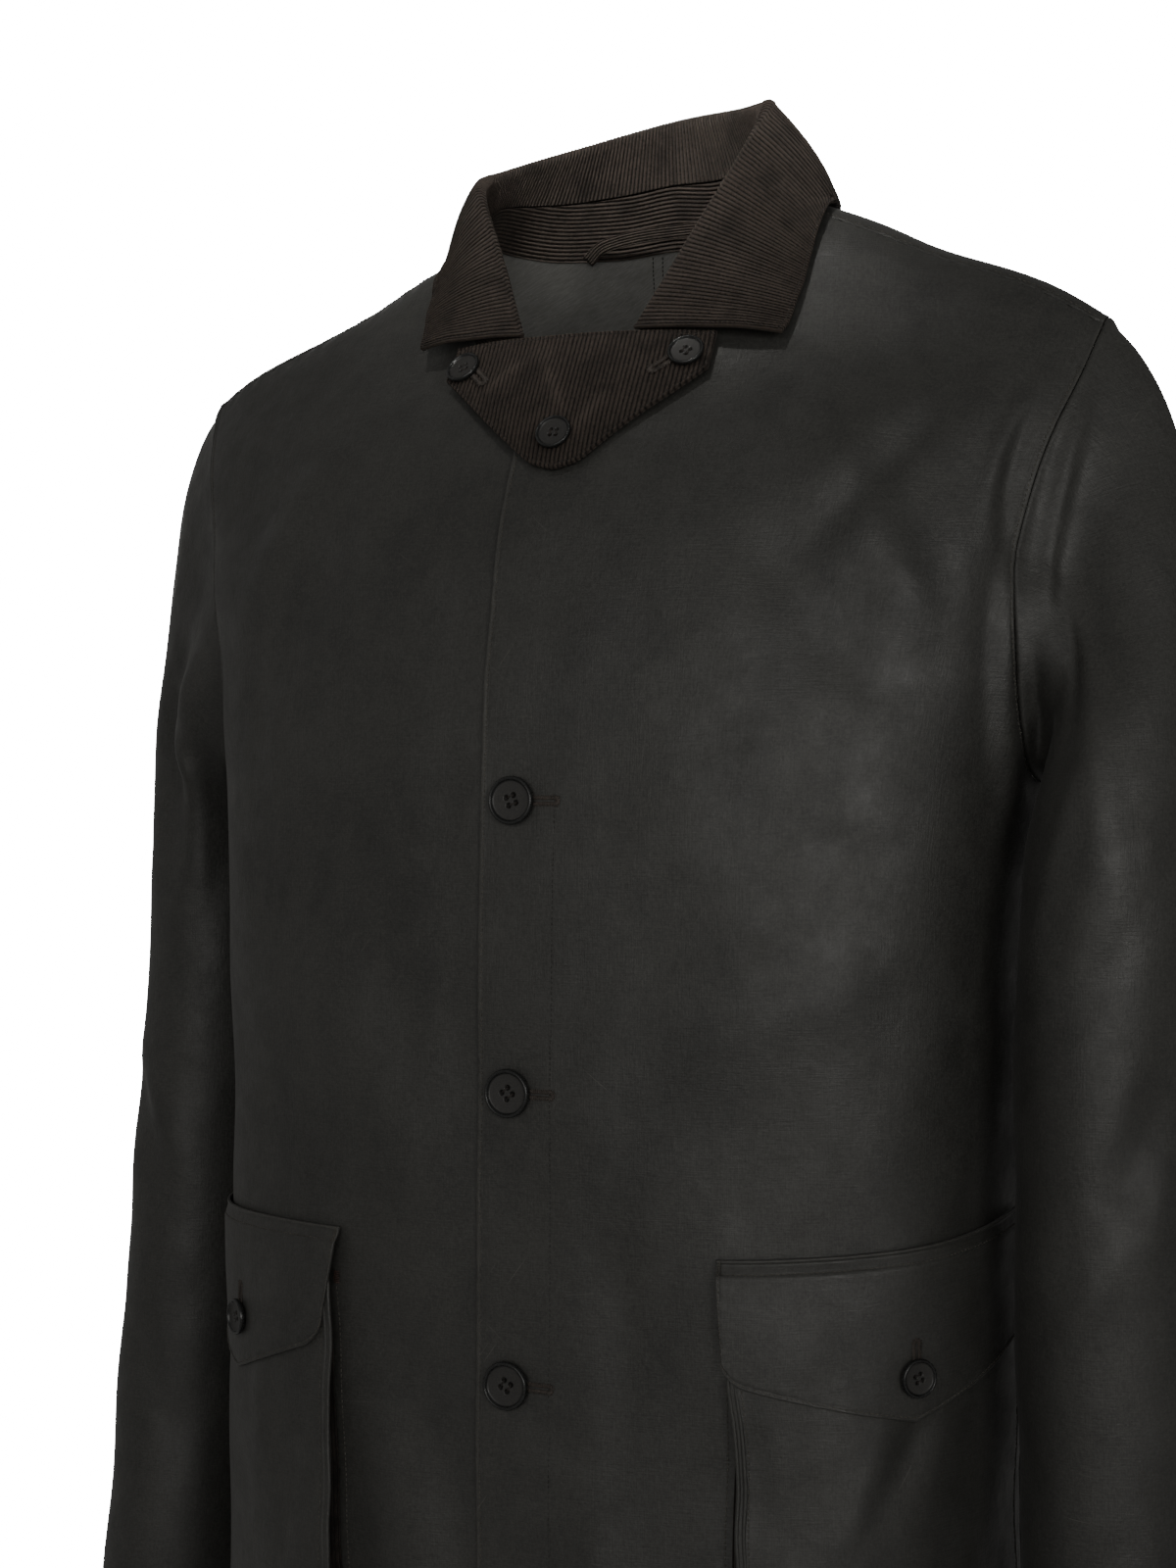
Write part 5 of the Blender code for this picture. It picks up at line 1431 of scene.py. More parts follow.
def make_sleeve(hand):
    side, columns = SIDES[hand], SLEEVE_COLUMNS
    start, out, across = armhole_ring(columns, hand)
    angle = 360 * np.arange(columns) / columns
    low = (1 - np.cos(np.radians(angle))) / 2
    underarm = ease((low - UNDERARM_FROM) / (1 - UNDERARM_FROM))[:, None]
    leave = across * (1 - HEAD_TUCK * underarm) + out * underarm
    leave = unit(leave - np.array([0, 0, HEAD_DROOP]) * (1 - underarm))
    start = start + across * GAP
    angle = angle + SLEEVE_TWIST[hand] * low
    turn = np.radians(angle)

    def ring(height):
        x, y, half_width, half_depth = (smooth(SLEEVE, column, height) for column in
                                        (*CENTRE[hand], SLEEVE_HALF_WIDTH, SLEEVE_HALF_DEPTH))
        x, y = x + half_width * np.cos(turn), y - half_depth * np.sin(turn)
        return np.stack([x, y, np.full(columns, height)], axis=-1)

    # From the armhole a curve leaves across the seam and settles into the hanging tube
    top = SLEEVE[0][0]
    end = ring(top)
    reach = HEAD_REACH[0] + (HEAD_REACH[1] - HEAD_REACH[0]) * underarm
    longest = HEAD_SHARE * np.linalg.norm(end - start, axis=1, keepdims=True)
    reach, settle = np.minimum(reach, longest), np.minimum(HEAD_SETTLE, longest)
    rows = [start]
    first = start + leave * reach + leave * SEAM_LIP
    second = end + np.array([0, 0, 1]) * settle
    start = start + leave * SEAM_LIP
    head = np.unique(np.append(np.linspace(0, 1, SLEEVE_HEAD_ROWS + 1), HEAD_LINES))
    for t in head:
        rows.append(start * (1 - t) ** 3 + 3 * first * t * (1 - t) ** 2
                    + 3 * second * t * t * (1 - t) + end * t ** 3)
    hanging = places(SLEEVE_ROWS, SLEEVE_LENGTH, at_start=False)[1:] / SLEEVE_ROWS
    rows += [ring(top + (CUFF[hand] - top) * share) for share in hanging]
    outer = np.stack(rows)
    progress = np.concatenate([[0], head, 1 + hanging])

    # At the shoulder point the curves crowd, and are evened out
    level = ease(progress / EVEN_SHARE) * (1 - ease((progress - 0.5) / 0.5))
    level = level[:, None, None] * (1 - ease((low - EVEN_FROM) / EVEN_BLEND))[:, None]
    for _ in range(EVEN_PASSES):
        steps = range(-EVEN_COLUMNS, EVEN_COLUMNS + 1)
        even = sum(np.roll(outer, step, axis=1) for step in steps) / len(steps)
        outer = outer + (even - outer) * level

    fade = ease(progress / SEAM_SHARE)[:, None], ease(progress / CREASE_SHARE)[:, None]
    relief = sleeve_relief(angle[None, :], outer, hand, fade)
    outer = outer + tube_normal(outer) * relief[..., None]
    beside = ease((low - CLEAR_FROM) / CLEAR_BLEND)[None, :, None]
    beside = ease(progress / CLEAR_SHARE)[:, None, None] * beside
    outer = outer + (clear_of_body(outer, hand) - outer) * beside
    normal = tube_normal(outer)
    over = np.sum(normal[0] * across, axis=1, keepdims=True)
    normal[0] = unit(normal[0] - across * np.maximum(over, 0))
    down, from_cuff, around_run, _ = edge_distances(outer)
    rise = edge_form(from_cuff, around_run, CUFF_STITCH, EDGE_ROLL / 2)
    puckers = 0.8 * seam_form(down, around_run) * ease(down / 0.003)
    rise += np.where(progress[:, None] < 1, puckers, 0)

    # The grid starts at the underarm, where the sleeve's own seam is
    grids = (outer + normal * rise[..., None], shell(outer, normal, [from_cuff]), from_cuff,
             rubbed(from_cuff, CUFF_WEAR), normal)
    shown, inner, up, wear, normal = (np.roll(grid, columns // 2, axis=1) for grid in grids)
    width = np.linspace(0, 2 * math.pi * SLEEVE_ROUND, columns) * np.ones((len(shown), 1))
    shown, inner, normal = (mirrored(grid, hand) for grid in (shown, inner, normal))
    item = wall(f"sleeve_{side}_cloth", shown, inner, np.stack([width, up], axis=-1),
                "waxed_cotton", "waxed_cotton", f"sleeve_{side}", wear, wrap=True, lined=True)
    line = stitch_line(shown, normal, edge_distances(shown)[1], CUFF_STITCH, 0)
    sew(f"sleeve_{side}_stitching", [line], "waxed_cotton")


def neck_seam(station):
    """The neckline at a collar station, and the way up out of the cloth's edge."""
    hand = np.where(station < 0, -1, 1)
    far = np.abs(station)
    behind = (far <= SEAM_STATION)[:, None]
    ends = []
    for step in (-SAMPLE_STEP, 0, SAMPLE_STEP):
        fraction = np.clip(1 - (far + step) / SEAM_STATION, 0, 1)
        x, drop = smooth(NECK_BACK, 1, fraction), smooth(NECK_BACK, 2, fraction)
        height = bare_torso(around_at(x, 0.0), drop, BACK)[..., 2]
        back = torso(hand * around_at(x, height), drop, BACK)
        turn = (far + step - SEAM_STATION) / (1 - SEAM_STATION)
        turn = np.clip(turn, 0, 1) * math.acos(COLLAR_FRONT_X / NECK_HALF_WIDTH)
        x, height = neck_curve(turn)
        drop = np.maximum(drop_at(x, height, FRONT), SHOULDER_SEAM)
        front = torso(hand * around_at(x, height), drop, FRONT)
        ends.append([np.where(behind, *pair) for pair in zip(back, front)])
    along = unit(ends[2][0] - ends[0][0]) * hand[:, None]
    point, out = ends[1]
    return point, unit(np.cross(along, out))


def collar_line(station, columns):
    return np.stack([smooth(COLLAR, column, station) for column in columns], axis=-1)


def middle_normal(middle):
    return unit(np.cross(np.gradient(middle, axis=0), np.gradient(middle, axis=1)))


def rest_on_front(points, resting):
    """Moves points forward, where they would sink into the front, to lie on it."""
    x, y, height = points.T
    below = np.minimum(height - LEAF_REST[0], smooth(RIDGE, RIDGE_HEIGHT, np.abs(x)))
    surface, _ = on_face(x, below, FRONT)
    clear = np.minimum(y, surface[:, 1] - LEAF_REST[1])
    return np.stack([x, y + (clear - y) * resting, height], axis=-1)


def wales(run, pitch):
    """The height of corduroy's ribs across them, from half below to half above."""
    return WALE_HEIGHT * (np.abs(np.cos(math.pi * run / pitch)) ** WALE_POWER - 0.5)


def make_collar_stand(stations, base, top_in):
    at = np.linspace(0, len(stations) - 1, STAND_COLUMNS + 1)
    columns = places(STAND_COLUMNS, STAND_SIZE[0])
    columns = np.interp(columns, np.arange(STAND_COLUMNS + 1.0), at)
    middle = np.stack([base + (top_in - base) * share * BAND_SEAM
                       for share in edge_shares(STAND_ROWS, STAND_SIZE[1])])
    middle = read_columns(middle, columns)
    normal = middle_normal(middle)
    inward = np.sum(normal * middle * np.array([-1, -1, 0]), axis=-1, keepdims=True)
    normal = normal * np.sign(inward)
    down, across = run_along(middle, 0), run_along(middle, 1)
    shown = middle + normal * (CORDUROY / 2 + wales(down, STAND_WALE))[..., None]
    item = wall("collar_stand_corduroy", shown, middle - normal * CORDUROY / 2,
                np.stack([down, across], axis=-1), "stand_corduroy", "corduroy", "collar_stand")


def collar_fall_rows(stations, base, fold, up, aside, edge):
    """Lines along the collar: up the band, over the fold and down the leaf."""
    core = fold - up * FOLD_RADIUS
    top_in, top_out = core - aside * FOLD_RADIUS, core + aside * FOLD_RADIUS
    start = BAND_SEAM + BAND_GAP / np.linalg.norm(top_in - base, axis=1, keepdims=True)
    rows = [base + (top_in - base) * (start + (1 - start) * share)
            for share in edge_shares(BAND_ROWS, BAND_HEIGHT, at_end=False)]
    for index in range(1, FOLD_ROWS):
        turn = math.pi * index / FOLD_ROWS
        rows.append(core - aside * FOLD_RADIUS * math.cos(turn) + up * FOLD_RADIUS * math.sin(turn))
    far = np.abs(stations)
    resting = ease((far - LEAF_FREE[0]) / (LEAF_FREE[1] - LEAF_FREE[0]))
    curl = sum(rise * bell(stations - at, half_width) for at, half_width, rise in LEAF_CURLS)
    for share in edge_shares(LEAF_ROWS, LEAF_SIZE[1], at_start=False):
        wave = LEAF_WAVE * math.sin(LEAF_WAVE_TURN * share) * bell(1 - far, LEAF_WAVE_REACH)
        out_by = LEAF_BULGE * 4 * share * (1 - share) + (curl + wave) * share ** 2
        leaf = rest_on_front(top_out + (edge - top_out) * share, resting)
        rows.append(leaf + aside * out_by[:, None])
    return rows


def make_collar():
    stations = np.linspace(-1, 1, COLLAR_STATIONS)
    base, rise = neck_seam(stations)
    fold = collar_line(stations, (FOLD_X, FOLD_Y, FOLD_Z))
    edge = collar_line(stations, (EDGE_X, EDGE_Y, EDGE_Z))
    up = unit(fold - base)
    aside = unit(np.cross(np.gradient(fold, axis=0), up))
    aside = aside * np.sign(np.sum(aside[:, :2] * fold[:, :2], axis=1, keepdims=True))
    inside = unit(-base * np.array([1, 1, 0]))
    base = base - rise * STAND_TUCK + inside * (CLOTH + CORDUROY / 2 + GAP)
    make_collar_stand(stations, base, fold - up * FOLD_RADIUS - aside * FOLD_RADIUS)
    rows = collar_fall_rows(stations, base, fold, up, aside, edge)
    fine = np.linspace(-1, 1, FALL_COLUMNS + 1)
    columns = places(FALL_COLUMNS, LEAF_SIZE[0])
    middle = read_columns(np.stack([read_run(fine, stations, row) for row in rows]), columns)
    normal = middle_normal(middle)
    outward = np.sum(normal[-1] * middle[-1] * np.array([1, 1, 0]), axis=-1).mean()
    normal = normal * np.sign(outward)
    down, from_edge, run, run_left = edge_distances(middle)
    half = np.searchsorted(columns, FALL_COLUMNS / 2)
    from_ends = np.minimum(run, run_left)
    leaf_row = BAND_ROWS + FOLD_ROWS
    from_front = np.append(from_ends[leaf_row, :half], run_left[leaf_row, half:])
    from_front = np.broadcast_to(from_front, run.shape)
    form = wales(from_front, WALE)
    leaf = np.arange(len(rows))[:, None] >= leaf_row
    form += np.where(leaf, edge_form(from_edge, run), 0)
    form += np.where(leaf, edge_form(from_ends, down), 0)
    shown = middle + normal * (CORDUROY / 2 + form)[..., None]
    under = middle - normal * CORDUROY / 2
    item = wall("collar_fall_corduroy", shown, under, np.stack([from_front, down], axis=-1),
                "corduroy", "corduroy", "collar_fall")
    lines = [stitch_line(shown, normal, from_edge, EDGE_STITCH, 0)]
    below = slice(leaf_row + len(EDGE_LINES), None)
    for from_end in (run, run_left):
        lines.append(stitch_line(shown, normal, from_end, EDGE_STITCH, 1, below))
    sew("collar_stitching", lines, "corduroy", "knot_thread")


def tab_lift(height):
    share = ease((TAB_TOP[0] - height) / (TAB_TOP[0] - TAB_TIP))
    return TAB_LIFT[0] + (TAB_LIFT[1] - TAB_LIFT[0]) * share


def make_tab():
    share = 2 * edge_shares(TAB_COLUMNS, 2 * TAB_HALF_WIDTH) - 1
    x = TAB_CENTRE + TAB_HALF_WIDTH * share
    top = TAB_TOP[0] + (TAB_TOP[1] - TAB_TOP[0]) * share ** 2
    turns = (x[0], TAB_TIP_X - TAB_TIP_HALF, TAB_TIP_X, TAB_TIP_X + TAB_TIP_HALF, x[-1])
    shoulder = TAB_TIP + TAB_TIP_ROUND
    bottom = np.interp(x, turns, (TAB_END, shoulder, TAB_TIP, shoulder, TAB_END))
    kernel = np.hanning(2 * TAB_ROUNDING + 1)
    padded = np.pad(bottom, TAB_ROUNDING, mode="edge")
    bottom = np.convolve(padded, kernel / kernel.sum(), mode="valid")
    height = top + (bottom - top) * edge_shares(TAB_ROWS, TAB_DEPTH)[:, None]
    x = np.broadcast_to(x, height.shape)
    inner, out = on_face(x, height, FRONT, tab_lift(height))
    plain, _ = on_face(x, height, FRONT, tab_lift(height) + CORDUROY)
    from_top, from_bottom, run, run_left = edge_distances(plain)
    across = x + TAB_SLANT * height
    form = wales(across, TAB_WALE)
    flat, rubbed = np.stack([x, height], axis=-1), np.zeros(x.shape)
    for *line, half_width, rise in TAB_CREASES:
        near = near_curve(flat, line, half_width)
        form, rubbed = form + rise * near, np.maximum(rubbed, 0.6 * near * (rise > 0))
    form += edge_form(from_top, run) + edge_form(from_bottom, run)
    form += edge_form(np.minimum(run, run_left), from_top)
    shown = plain + out * form[..., None]
    item = wall("throat_tab_corduroy", shown, inner, np.stack([across, height], axis=-1),
                "tab_corduroy", "corduroy", "throat_tab", rubbed)
    edges = (from_top, 0), (from_bottom, 0), (run, 1), (run_left, 1)
    lines = [stitch_line(shown, out, distance, EDGE_STITCH, axis) for distance, axis in edges]
    sew("tab_stitching", lines, "corduroy", "knot_thread")


def on_girth(girth, height, hand, lift):
    """A point of the front given by its distance along the girth and its height."""
    angles, lengths = girth_table()
    around = np.interp(girth + PANEL_SHIFT[hand], lengths, angles)
    x, _ = section(around, height)
    return torso(hand * around, drop_at(x, height, FRONT), FRONT, lift)


def pocket_lift(girth, height, hand):
    """How far the pocket's cloth stands off the front, under its inner face."""
    across = (girth - POCKET_START) / POCKET_WIDTH
    down = np.clip((POCKET_TOP - height) / (POCKET_TOP - POCKET_BOTTOM), 0, 1)
    full, flat = POCKET_FULL[hand]
    standing = 1 - ease((across - full) / (flat - full))
    opened = POCKET_TOP_SHARE + (1 - POCKET_TOP_SHARE) * down ** POCKET_CURVE
    return POCKET_FLAT + POCKET_SWELL[hand] * standing * opened


def bag_lean(height, hand):
    """How far the edge of a pocket's bag has sunk back, down its front."""
    sunk = np.sin(math.pi * np.clip((BAG_SUNK[0] - height) / BAG_SUNK[1], 0, 1))
    down = np.clip((GUSSET_TOP - height) / (GUSSET_TOP - POCKET_BOTTOM), 0, 1)
    start, low, middle = BAG_LEAN[hand]
    return start * (down > 0) + low * down + middle * sunk + BAG_WAVER * np.sin(height * 95)


def make_pocket(hand):
    side = SIDES[hand]
    girths = POCKET_START + POCKET_WIDTH * edge_shares(POCKET_COLUMNS, POCKET_WIDTH)
    heights = POCKET_TOP + (POCKET_BOTTOM - POCKET_TOP) * edge_shares(POCKET_ROWS, 0.22)
    girth, height = np.meshgrid(girths, heights)
    lift = pocket_lift(girth, height, hand)
    share = (girth - POCKET_START) / POCKET_WIDTH
    inner, out = on_girth(girth + bag_lean(height, hand) * (1 - share) ** 4, height, hand, lift)
    crease = np.zeros(girth.shape)
    for crease_hand, *line, half_width, rise in POCKET_CREASES:
        if crease_hand == hand:
            crease += rise * near_curve(inner[..., [0, 2]], line, half_width)
    crease *= ease((lift - POCKET_FLAT) / CREASE_STAND)
    _, from_low, from_front, from_rear = edge_distances(inner)
    form = edge_form(from_front, height, PIPE_STITCH) + edge_form(from_rear, height)
    form = form + edge_form(from_low, girth)
    shown = inner + out * (CLOTH + crease + form)[..., None]
    wear = rubbed(from_front, BAG_WEAR) + rubbed(from_low, FOOT_WEAR)
    item = wall(f"pocket_{side}_cloth", shown, inner + out * crease[..., None],
                np.stack([from_front, height], axis=-1), "waxed_cotton", "waxed_cotton",
                f"pocket_{side}", wear)
    edges = (from_front, PIPE_STITCH, 1), (from_rear, EDGE_STITCH, 1), (from_low, EDGE_STITCH, 0)
    lines = [stitch_line(shown, out, *edge) for edge in edges]
    heights = np.linspace(GUSSET_TOP, POCKET_BOTTOM + POCKET_EDGE, 90)
    down = (GUSSET_TOP - heights) / (GUSSET_TOP - POCKET_BOTTOM - POCKET_EDGE)
    foot = POCKET_START + POCKET_EDGE - GUSSET_LEAN * down - FOOT_STITCH
    foot = foot + bag_lean(heights, hand) * FOOT_LEAN[hand]
    lines.append(on_girth(foot, heights, hand, np.full(len(foot), THREAD_LIFT)))
    sew(f"pocket_{side}_stitching", lines, "waxed_cotton")


def make_gusset(hand):
    """The pile cloth between a pocket and the front, down its edge and along its foot."""
    side = SIDES[hand]
    start, low = POCKET_START + POCKET_EDGE, POCKET_BOTTOM + POCKET_EDGE
    down = np.linspace(GUSSET_TOP, low, GUSSET_COLUMNS + 1)
    along = np.linspace(start, POCKET_START + POCKET_WIDTH * GUSSET_END[hand], 40)[1:-3]
    girth = np.append(np.full(len(down), start), along)
    height = np.append(down, np.full(len(along), low))
    turned = np.arange(len(girth)) >= len(down) - 1
    straight = np.arange(len(girth)) <= len(down) - 1
    lean = GUSSET_LEAN * straight * (GUSSET_TOP - height) / (GUSSET_TOP - low)
    shift = np.where(straight, 1, np.clip(1 - (girth - start) / GUSSET_SHIFTED, 0, 1))
    shift = bag_lean(height, hand) * shift
    faces = []
    for inset in (0, CLOTH):
        ring_girth, ring_height = girth + inset * straight, height + inset * turned
        top = pocket_lift(ring_girth, ring_height, hand) - GUSSET_CLEAR
        rows = []
        for share in np.linspace(0, 1, GUSSET_ROWS + 1):
            sunk = GUSSET_SAG * math.sin(math.pi * share) * straight
            shifted = shift * (FOOT_LEAN[hand] * (1 - share) + share)
            foot = ring_girth - lean * (1 - share) + sunk + shifted
            lift = GUSSET_SEAT + (top - GUSSET_SEAT) * share
            rows.append(on_girth(foot, ring_height, hand, lift)[0])
        faces.append(np.stack(rows))
    flat = np.stack([run_along(faces[0], 0), run_along(faces[0], 1)], axis=-1)
    item = wall(f"pocket_gusset_{side}_pile", *faces, flat, "brown_pile", "brown_pile",
                f"pocket_gusset_{side}")


def make_piping(hand):
    """The doubled fold of cloth down a pocket's front edge."""
    height = np.linspace(GUSSET_TOP + 0.006, POCKET_BOTTOM, 120)
    wander = 0.0003 * np.sin(height * 71) + 0.0002 * np.sin(height * 187)
    parts = []
    for inside, sunk in PIPING_PLACES:
        girth = np.full(len(height), POCKET_START + inside)
        lift = pocket_lift(girth, height, hand) + CLOTH - sunk
        cord = on_girth(girth + wander + bag_lean(height, hand), height, hand, lift)
        parts.append(tube(*cord, PIPING))
    piece(f"pocket_{SIDES[hand]}_piping", *join(parts), "waxed_cotton", "waxed_cotton")


def flap_edges(girth, hand):
    """The heights of a flap's top and bottom edges."""
    share = (girth - FLAP_START) / FLAP_WIDTH
    top = FLAP_TOP + FLAP_RISE[hand] * share ** FLAP_TOP_CURVE
    depth = FLAP_END + FLAP_POINT * np.interp(share, (0, FLAP_TIP[hand], 1), (0, 1, 0))
    corner = np.clip(1 - np.minimum(share, 1 - share) / FLAP_CORNER[0], 0, 1)
    return top, top - depth + FLAP_CORNER[1] * (1 - np.sqrt(1 - corner ** 2))


def flap_lift(girth, height, hand):
    top, _ = flap_edges(girth, hand)
    over = pocket_lift(girth, height, hand) + CLOTH + FLAP_CLEAR
    return POCKET_FLAT + (over - POCKET_FLAT) * ease((top - height) / FLAP_HINGE)


def on_flap(girth, height, hand, lift):
    return on_girth(girth, height, hand, flap_lift(girth, height, hand) + CLOTH + lift)


def make_flap(hand):
    side = SIDES[hand]
    girths = FLAP_START + FLAP_WIDTH * edge_shares(FLAP_COLUMNS, FLAP_WIDTH)
    top, bottom = flap_edges(girths, hand)
    share = edge_shares(FLAP_ROWS, FLAP_DEPTH, extra=WELT_LINES)[:, None]
    height = top + (bottom - top) * share
    girth = np.broadcast_to(girths, height.shape)
    across = (girth - FLAP_START) / FLAP_WIDTH
    lean = FLAP_LEAN[hand] * ease((top - height) / FLAP_END) * (1 - across) ** 3
    inner, out = on_girth(girth + lean, height, hand, flap_lift(girth, height, hand))
    from_top, from_low, from_front, from_rear = edge_distances(inner)
    form = edge_form(from_low, from_front) + edge_form(from_front, from_top)
    form = form + edge_form(from_rear, from_top)
    # The welt along the hinge, the strip sunk below it, its groove, and the button's pull
    form += WELT[hand] * bell(from_top - WELT_PLACE, WELT_WIDTH)
    strip = ease((from_top - 2 * WELT_PLACE) / 0.001)
    form -= STRIP_SUNK * strip * (1 - ease((from_top - WELT_STITCH) / 0.002))
    form -= GROOVE * 0.6 * bell(from_top - WELT_STITCH, GROOVE_WIDTH)
    tip = FLAP_START + FLAP_WIDTH * FLAP_TIP[hand]
    pull = bell(girth - tip, BUTTON_PULL[1]) * bell(height - POCKET_BUTTON_HEIGHT, BUTTON_PULL[2])
    form -= BUTTON_PULL[0] * pull
    shown = inner + out * (CLOTH + form)[..., None]
    wear = rubbed(from_low, FLAP_WEAR) + rubbed(from_top, BAG_WEAR) + rubbed(from_front, FLAP_WEAR)
    flat = np.stack([from_front, from_top], axis=-1)
    item = wall(f"pocket_flap_{side}_cloth", shown, inner, flat, "waxed_cotton", "waxed_cotton",
                f"pocket_flap_{side}", wear)
    edges = ((from_top, WELT_STITCH, 0), (from_low, FLAP_STITCH, 0), (from_front, FLAP_STITCH, 1),
             (from_rear, FLAP_STITCH, 1))
    lines = [stitch_line(shown, out, *edge) for edge in edges]
    sew(f"flap_{side}_stitching", lines, "waxed_cotton")


def make_tacks(hand):
    """The bars of thread that hold a flap's upper corners and a gusset's top."""
    side = SIDES[hand]
    lines = []
    for start in (FLAP_START + 0.0006, FLAP_START + FLAP_WIDTH - 0.0026):
        girth = np.linspace(start, start + FLAP_TACK, 4)
        top = float(flap_edges(np.array([start]), hand)[0][0])
        lines += [on_flap(girth, np.full(4, height), hand, 0.0002)
                  for height in top - np.arange(0.0004, 0.0068, 0.0007)]
    sew(f"flap_{side}_tacks", lines, "waxed_cotton", "thread", 0.0019, 0.0019, 0.00028)
    start = POCKET_START - (0.0055 if hand < 0 else 0.0010)
    girth = np.linspace(start, start + 0.0044, 4)
    lines = [on_girth(girth, np.full(4, height), hand, np.full(4, 0.0012))
             for height in np.arange(GUSSET_TOP + 0.0030, GUSSET_TOP - 0.0030, -0.0009)]
    sew(f"gusset_{side}_tacks", lines, "waxed_cotton", "tack", 0.0042, 0.0042, 0.00034)


def make_lining_seam():
    """The two rows of stitches down the middle of the back, inside."""
    height = np.linspace(0.0070, HEM + 0.018, 420)
    lines = []
    for start in (-0.0155, -0.0103):
        x = start - 0.010 * (1 - np.exp(-(0.0064 - height) / 0.03))
        points, out = on_face(x, height, BACK, -CLOTH - 0.0002)
        lines.append((points, -out))
    sew("lining_stitching", lines, "waxed_cotton", "dull_thread")


def make_loop():
    """A strip of corduroy that arches between its two sewn ends."""
    table = [(index, *knot) for index, knot in enumerate(LOOP_PATH)]
    at = np.linspace(0, len(table) - 1, LOOP_COLUMNS + 1)
    path = np.stack([smooth(table, column, at) for column in (1, 2, 3)], axis=-1)
    along = unit(np.gradient(path, axis=0))
    inward = unit(-path * np.array([1, 1, 0]))
    across = unit(np.cross(along, inward))
    share = edge_shares(LOOP_ROWS, LOOP_WIDTH)
    behind = np.stack([path + across * LOOP_WIDTH * (part - 0.5) for part in share])
    width = (share * LOOP_WIDTH)[:, None] * np.ones(len(path))
    edge = np.minimum(width, LOOP_WIDTH - width)
    form = 0.8 * wales(width, LOOP_WALE) - 0.0005 * (1 - ease(edge / 0.0010))
    shown = behind + inward[None] * (LOOP_CLOTH + form)[..., None]
    run = run_along(path, 0) * np.ones((len(share), 1))
    wall("hanger_loop_corduroy", shown, behind, np.stack([width, run], axis=-1),
         "loop_corduroy", "corduroy", "hanger_loop")


def make_button(node, seat, out, diameter, spin=0.0):
    """A turned button: a raised rim, a dish, and four holes sunk in it, with the
    thread that holds it."""
    radius, depth = diameter / 2, diameter * BUTTON_DEPTH
    aside = unit(np.cross(out, np.array([0, 0, 1.0])))
    upward = np.cross(aside, out)
    turn = np.arange(BUTTON_SPOKES) / BUTTON_SPOKES * 2 * math.pi
    at = np.append(np.linspace(*BUTTON_RINGS[0]), np.linspace(*BUTTON_RINGS[1])[1:])
    radii, heights = smooth(BUTTON_PROFILE, 1, at)[:, None], smooth(BUTTON_PROFILE, 2, at)[:, None]
    flat_x, flat_y = radii * np.cos(turn + spin), radii * np.sin(turn + spin)
    level = np.broadcast_to(heights, flat_x.shape).copy()
    front = (at > BUTTON_TOP)[:, None]
    ends = (-1, 1)
    for hole_x, hole_y in ((x * HOLE_PLACE, y * HOLE_PLACE) for x in ends for y in ends):
        away = np.hypot(flat_x - hole_x, flat_y - hole_y)
        sunk = HOLE_DEPTH * (1 - ease((away - HOLE_RADIUS * 0.75) / (HOLE_RADIUS * 0.5)))
        level -= np.where(front, sunk, 0)
    level = np.where(front, np.maximum(level, HOLE_FLOOR), level)
    spokes = np.cos(turn)[:, None] * aside + np.sin(turn)[:, None] * upward
    points = seat + spokes * (radii * radius)[..., None] + out * (level * depth)[..., None]
    middle = seat + out * depth * BUTTON_PROFILE[-1][2]
    points = np.vstack([points.reshape(-1, 3), seat[None], middle[None]])
    faces = []
    last, n = (len(at) - 1) * BUTTON_SPOKES, BUTTON_SPOKES
    for j in range(n):
        k = (j + 1) % n
        faces += [(len(points) - 2, k, j), (len(points) - 1, last + j, last + k)]
    faces += tube_faces(len(at), n)[2:]
    dish = np.where(front, ease((DISH_RADIUS - np.hypot(flat_x, flat_y)) / DISH_EDGE), 0).ravel()
    piece(f"horn_{node}", points, faces, "horn", "horn", node,
          values={"dish": np.append(dish, (0, 1))})
    # Two pairs of threads, each from hole to hole
    c, s = math.cos(spin), math.sin(spin)
    parts = []
    for hole_y in (-HOLE_PLACE, HOLE_PLACE):
        line = []
        for along, rise in THREAD_PATH:
            hole_x = along * HOLE_PLACE
            across, over = hole_x * c + hole_y * s, -hole_x * s + hole_y * c
            line.append(seat + (aside * across + upward * over) * radius + out * rise * depth)
        line = np.array(line)
        for shift in (-THREAD_SHIFT, THREAD_SHIFT):
            sideways = upward * shift * c + aside * shift * s
            parts.append(tube(line + sideways, np.broadcast_to(out, line.shape), 0.00028, 8))
    piece(f"horn_{node}_thread", *join(parts), "knot_thread", "horn")


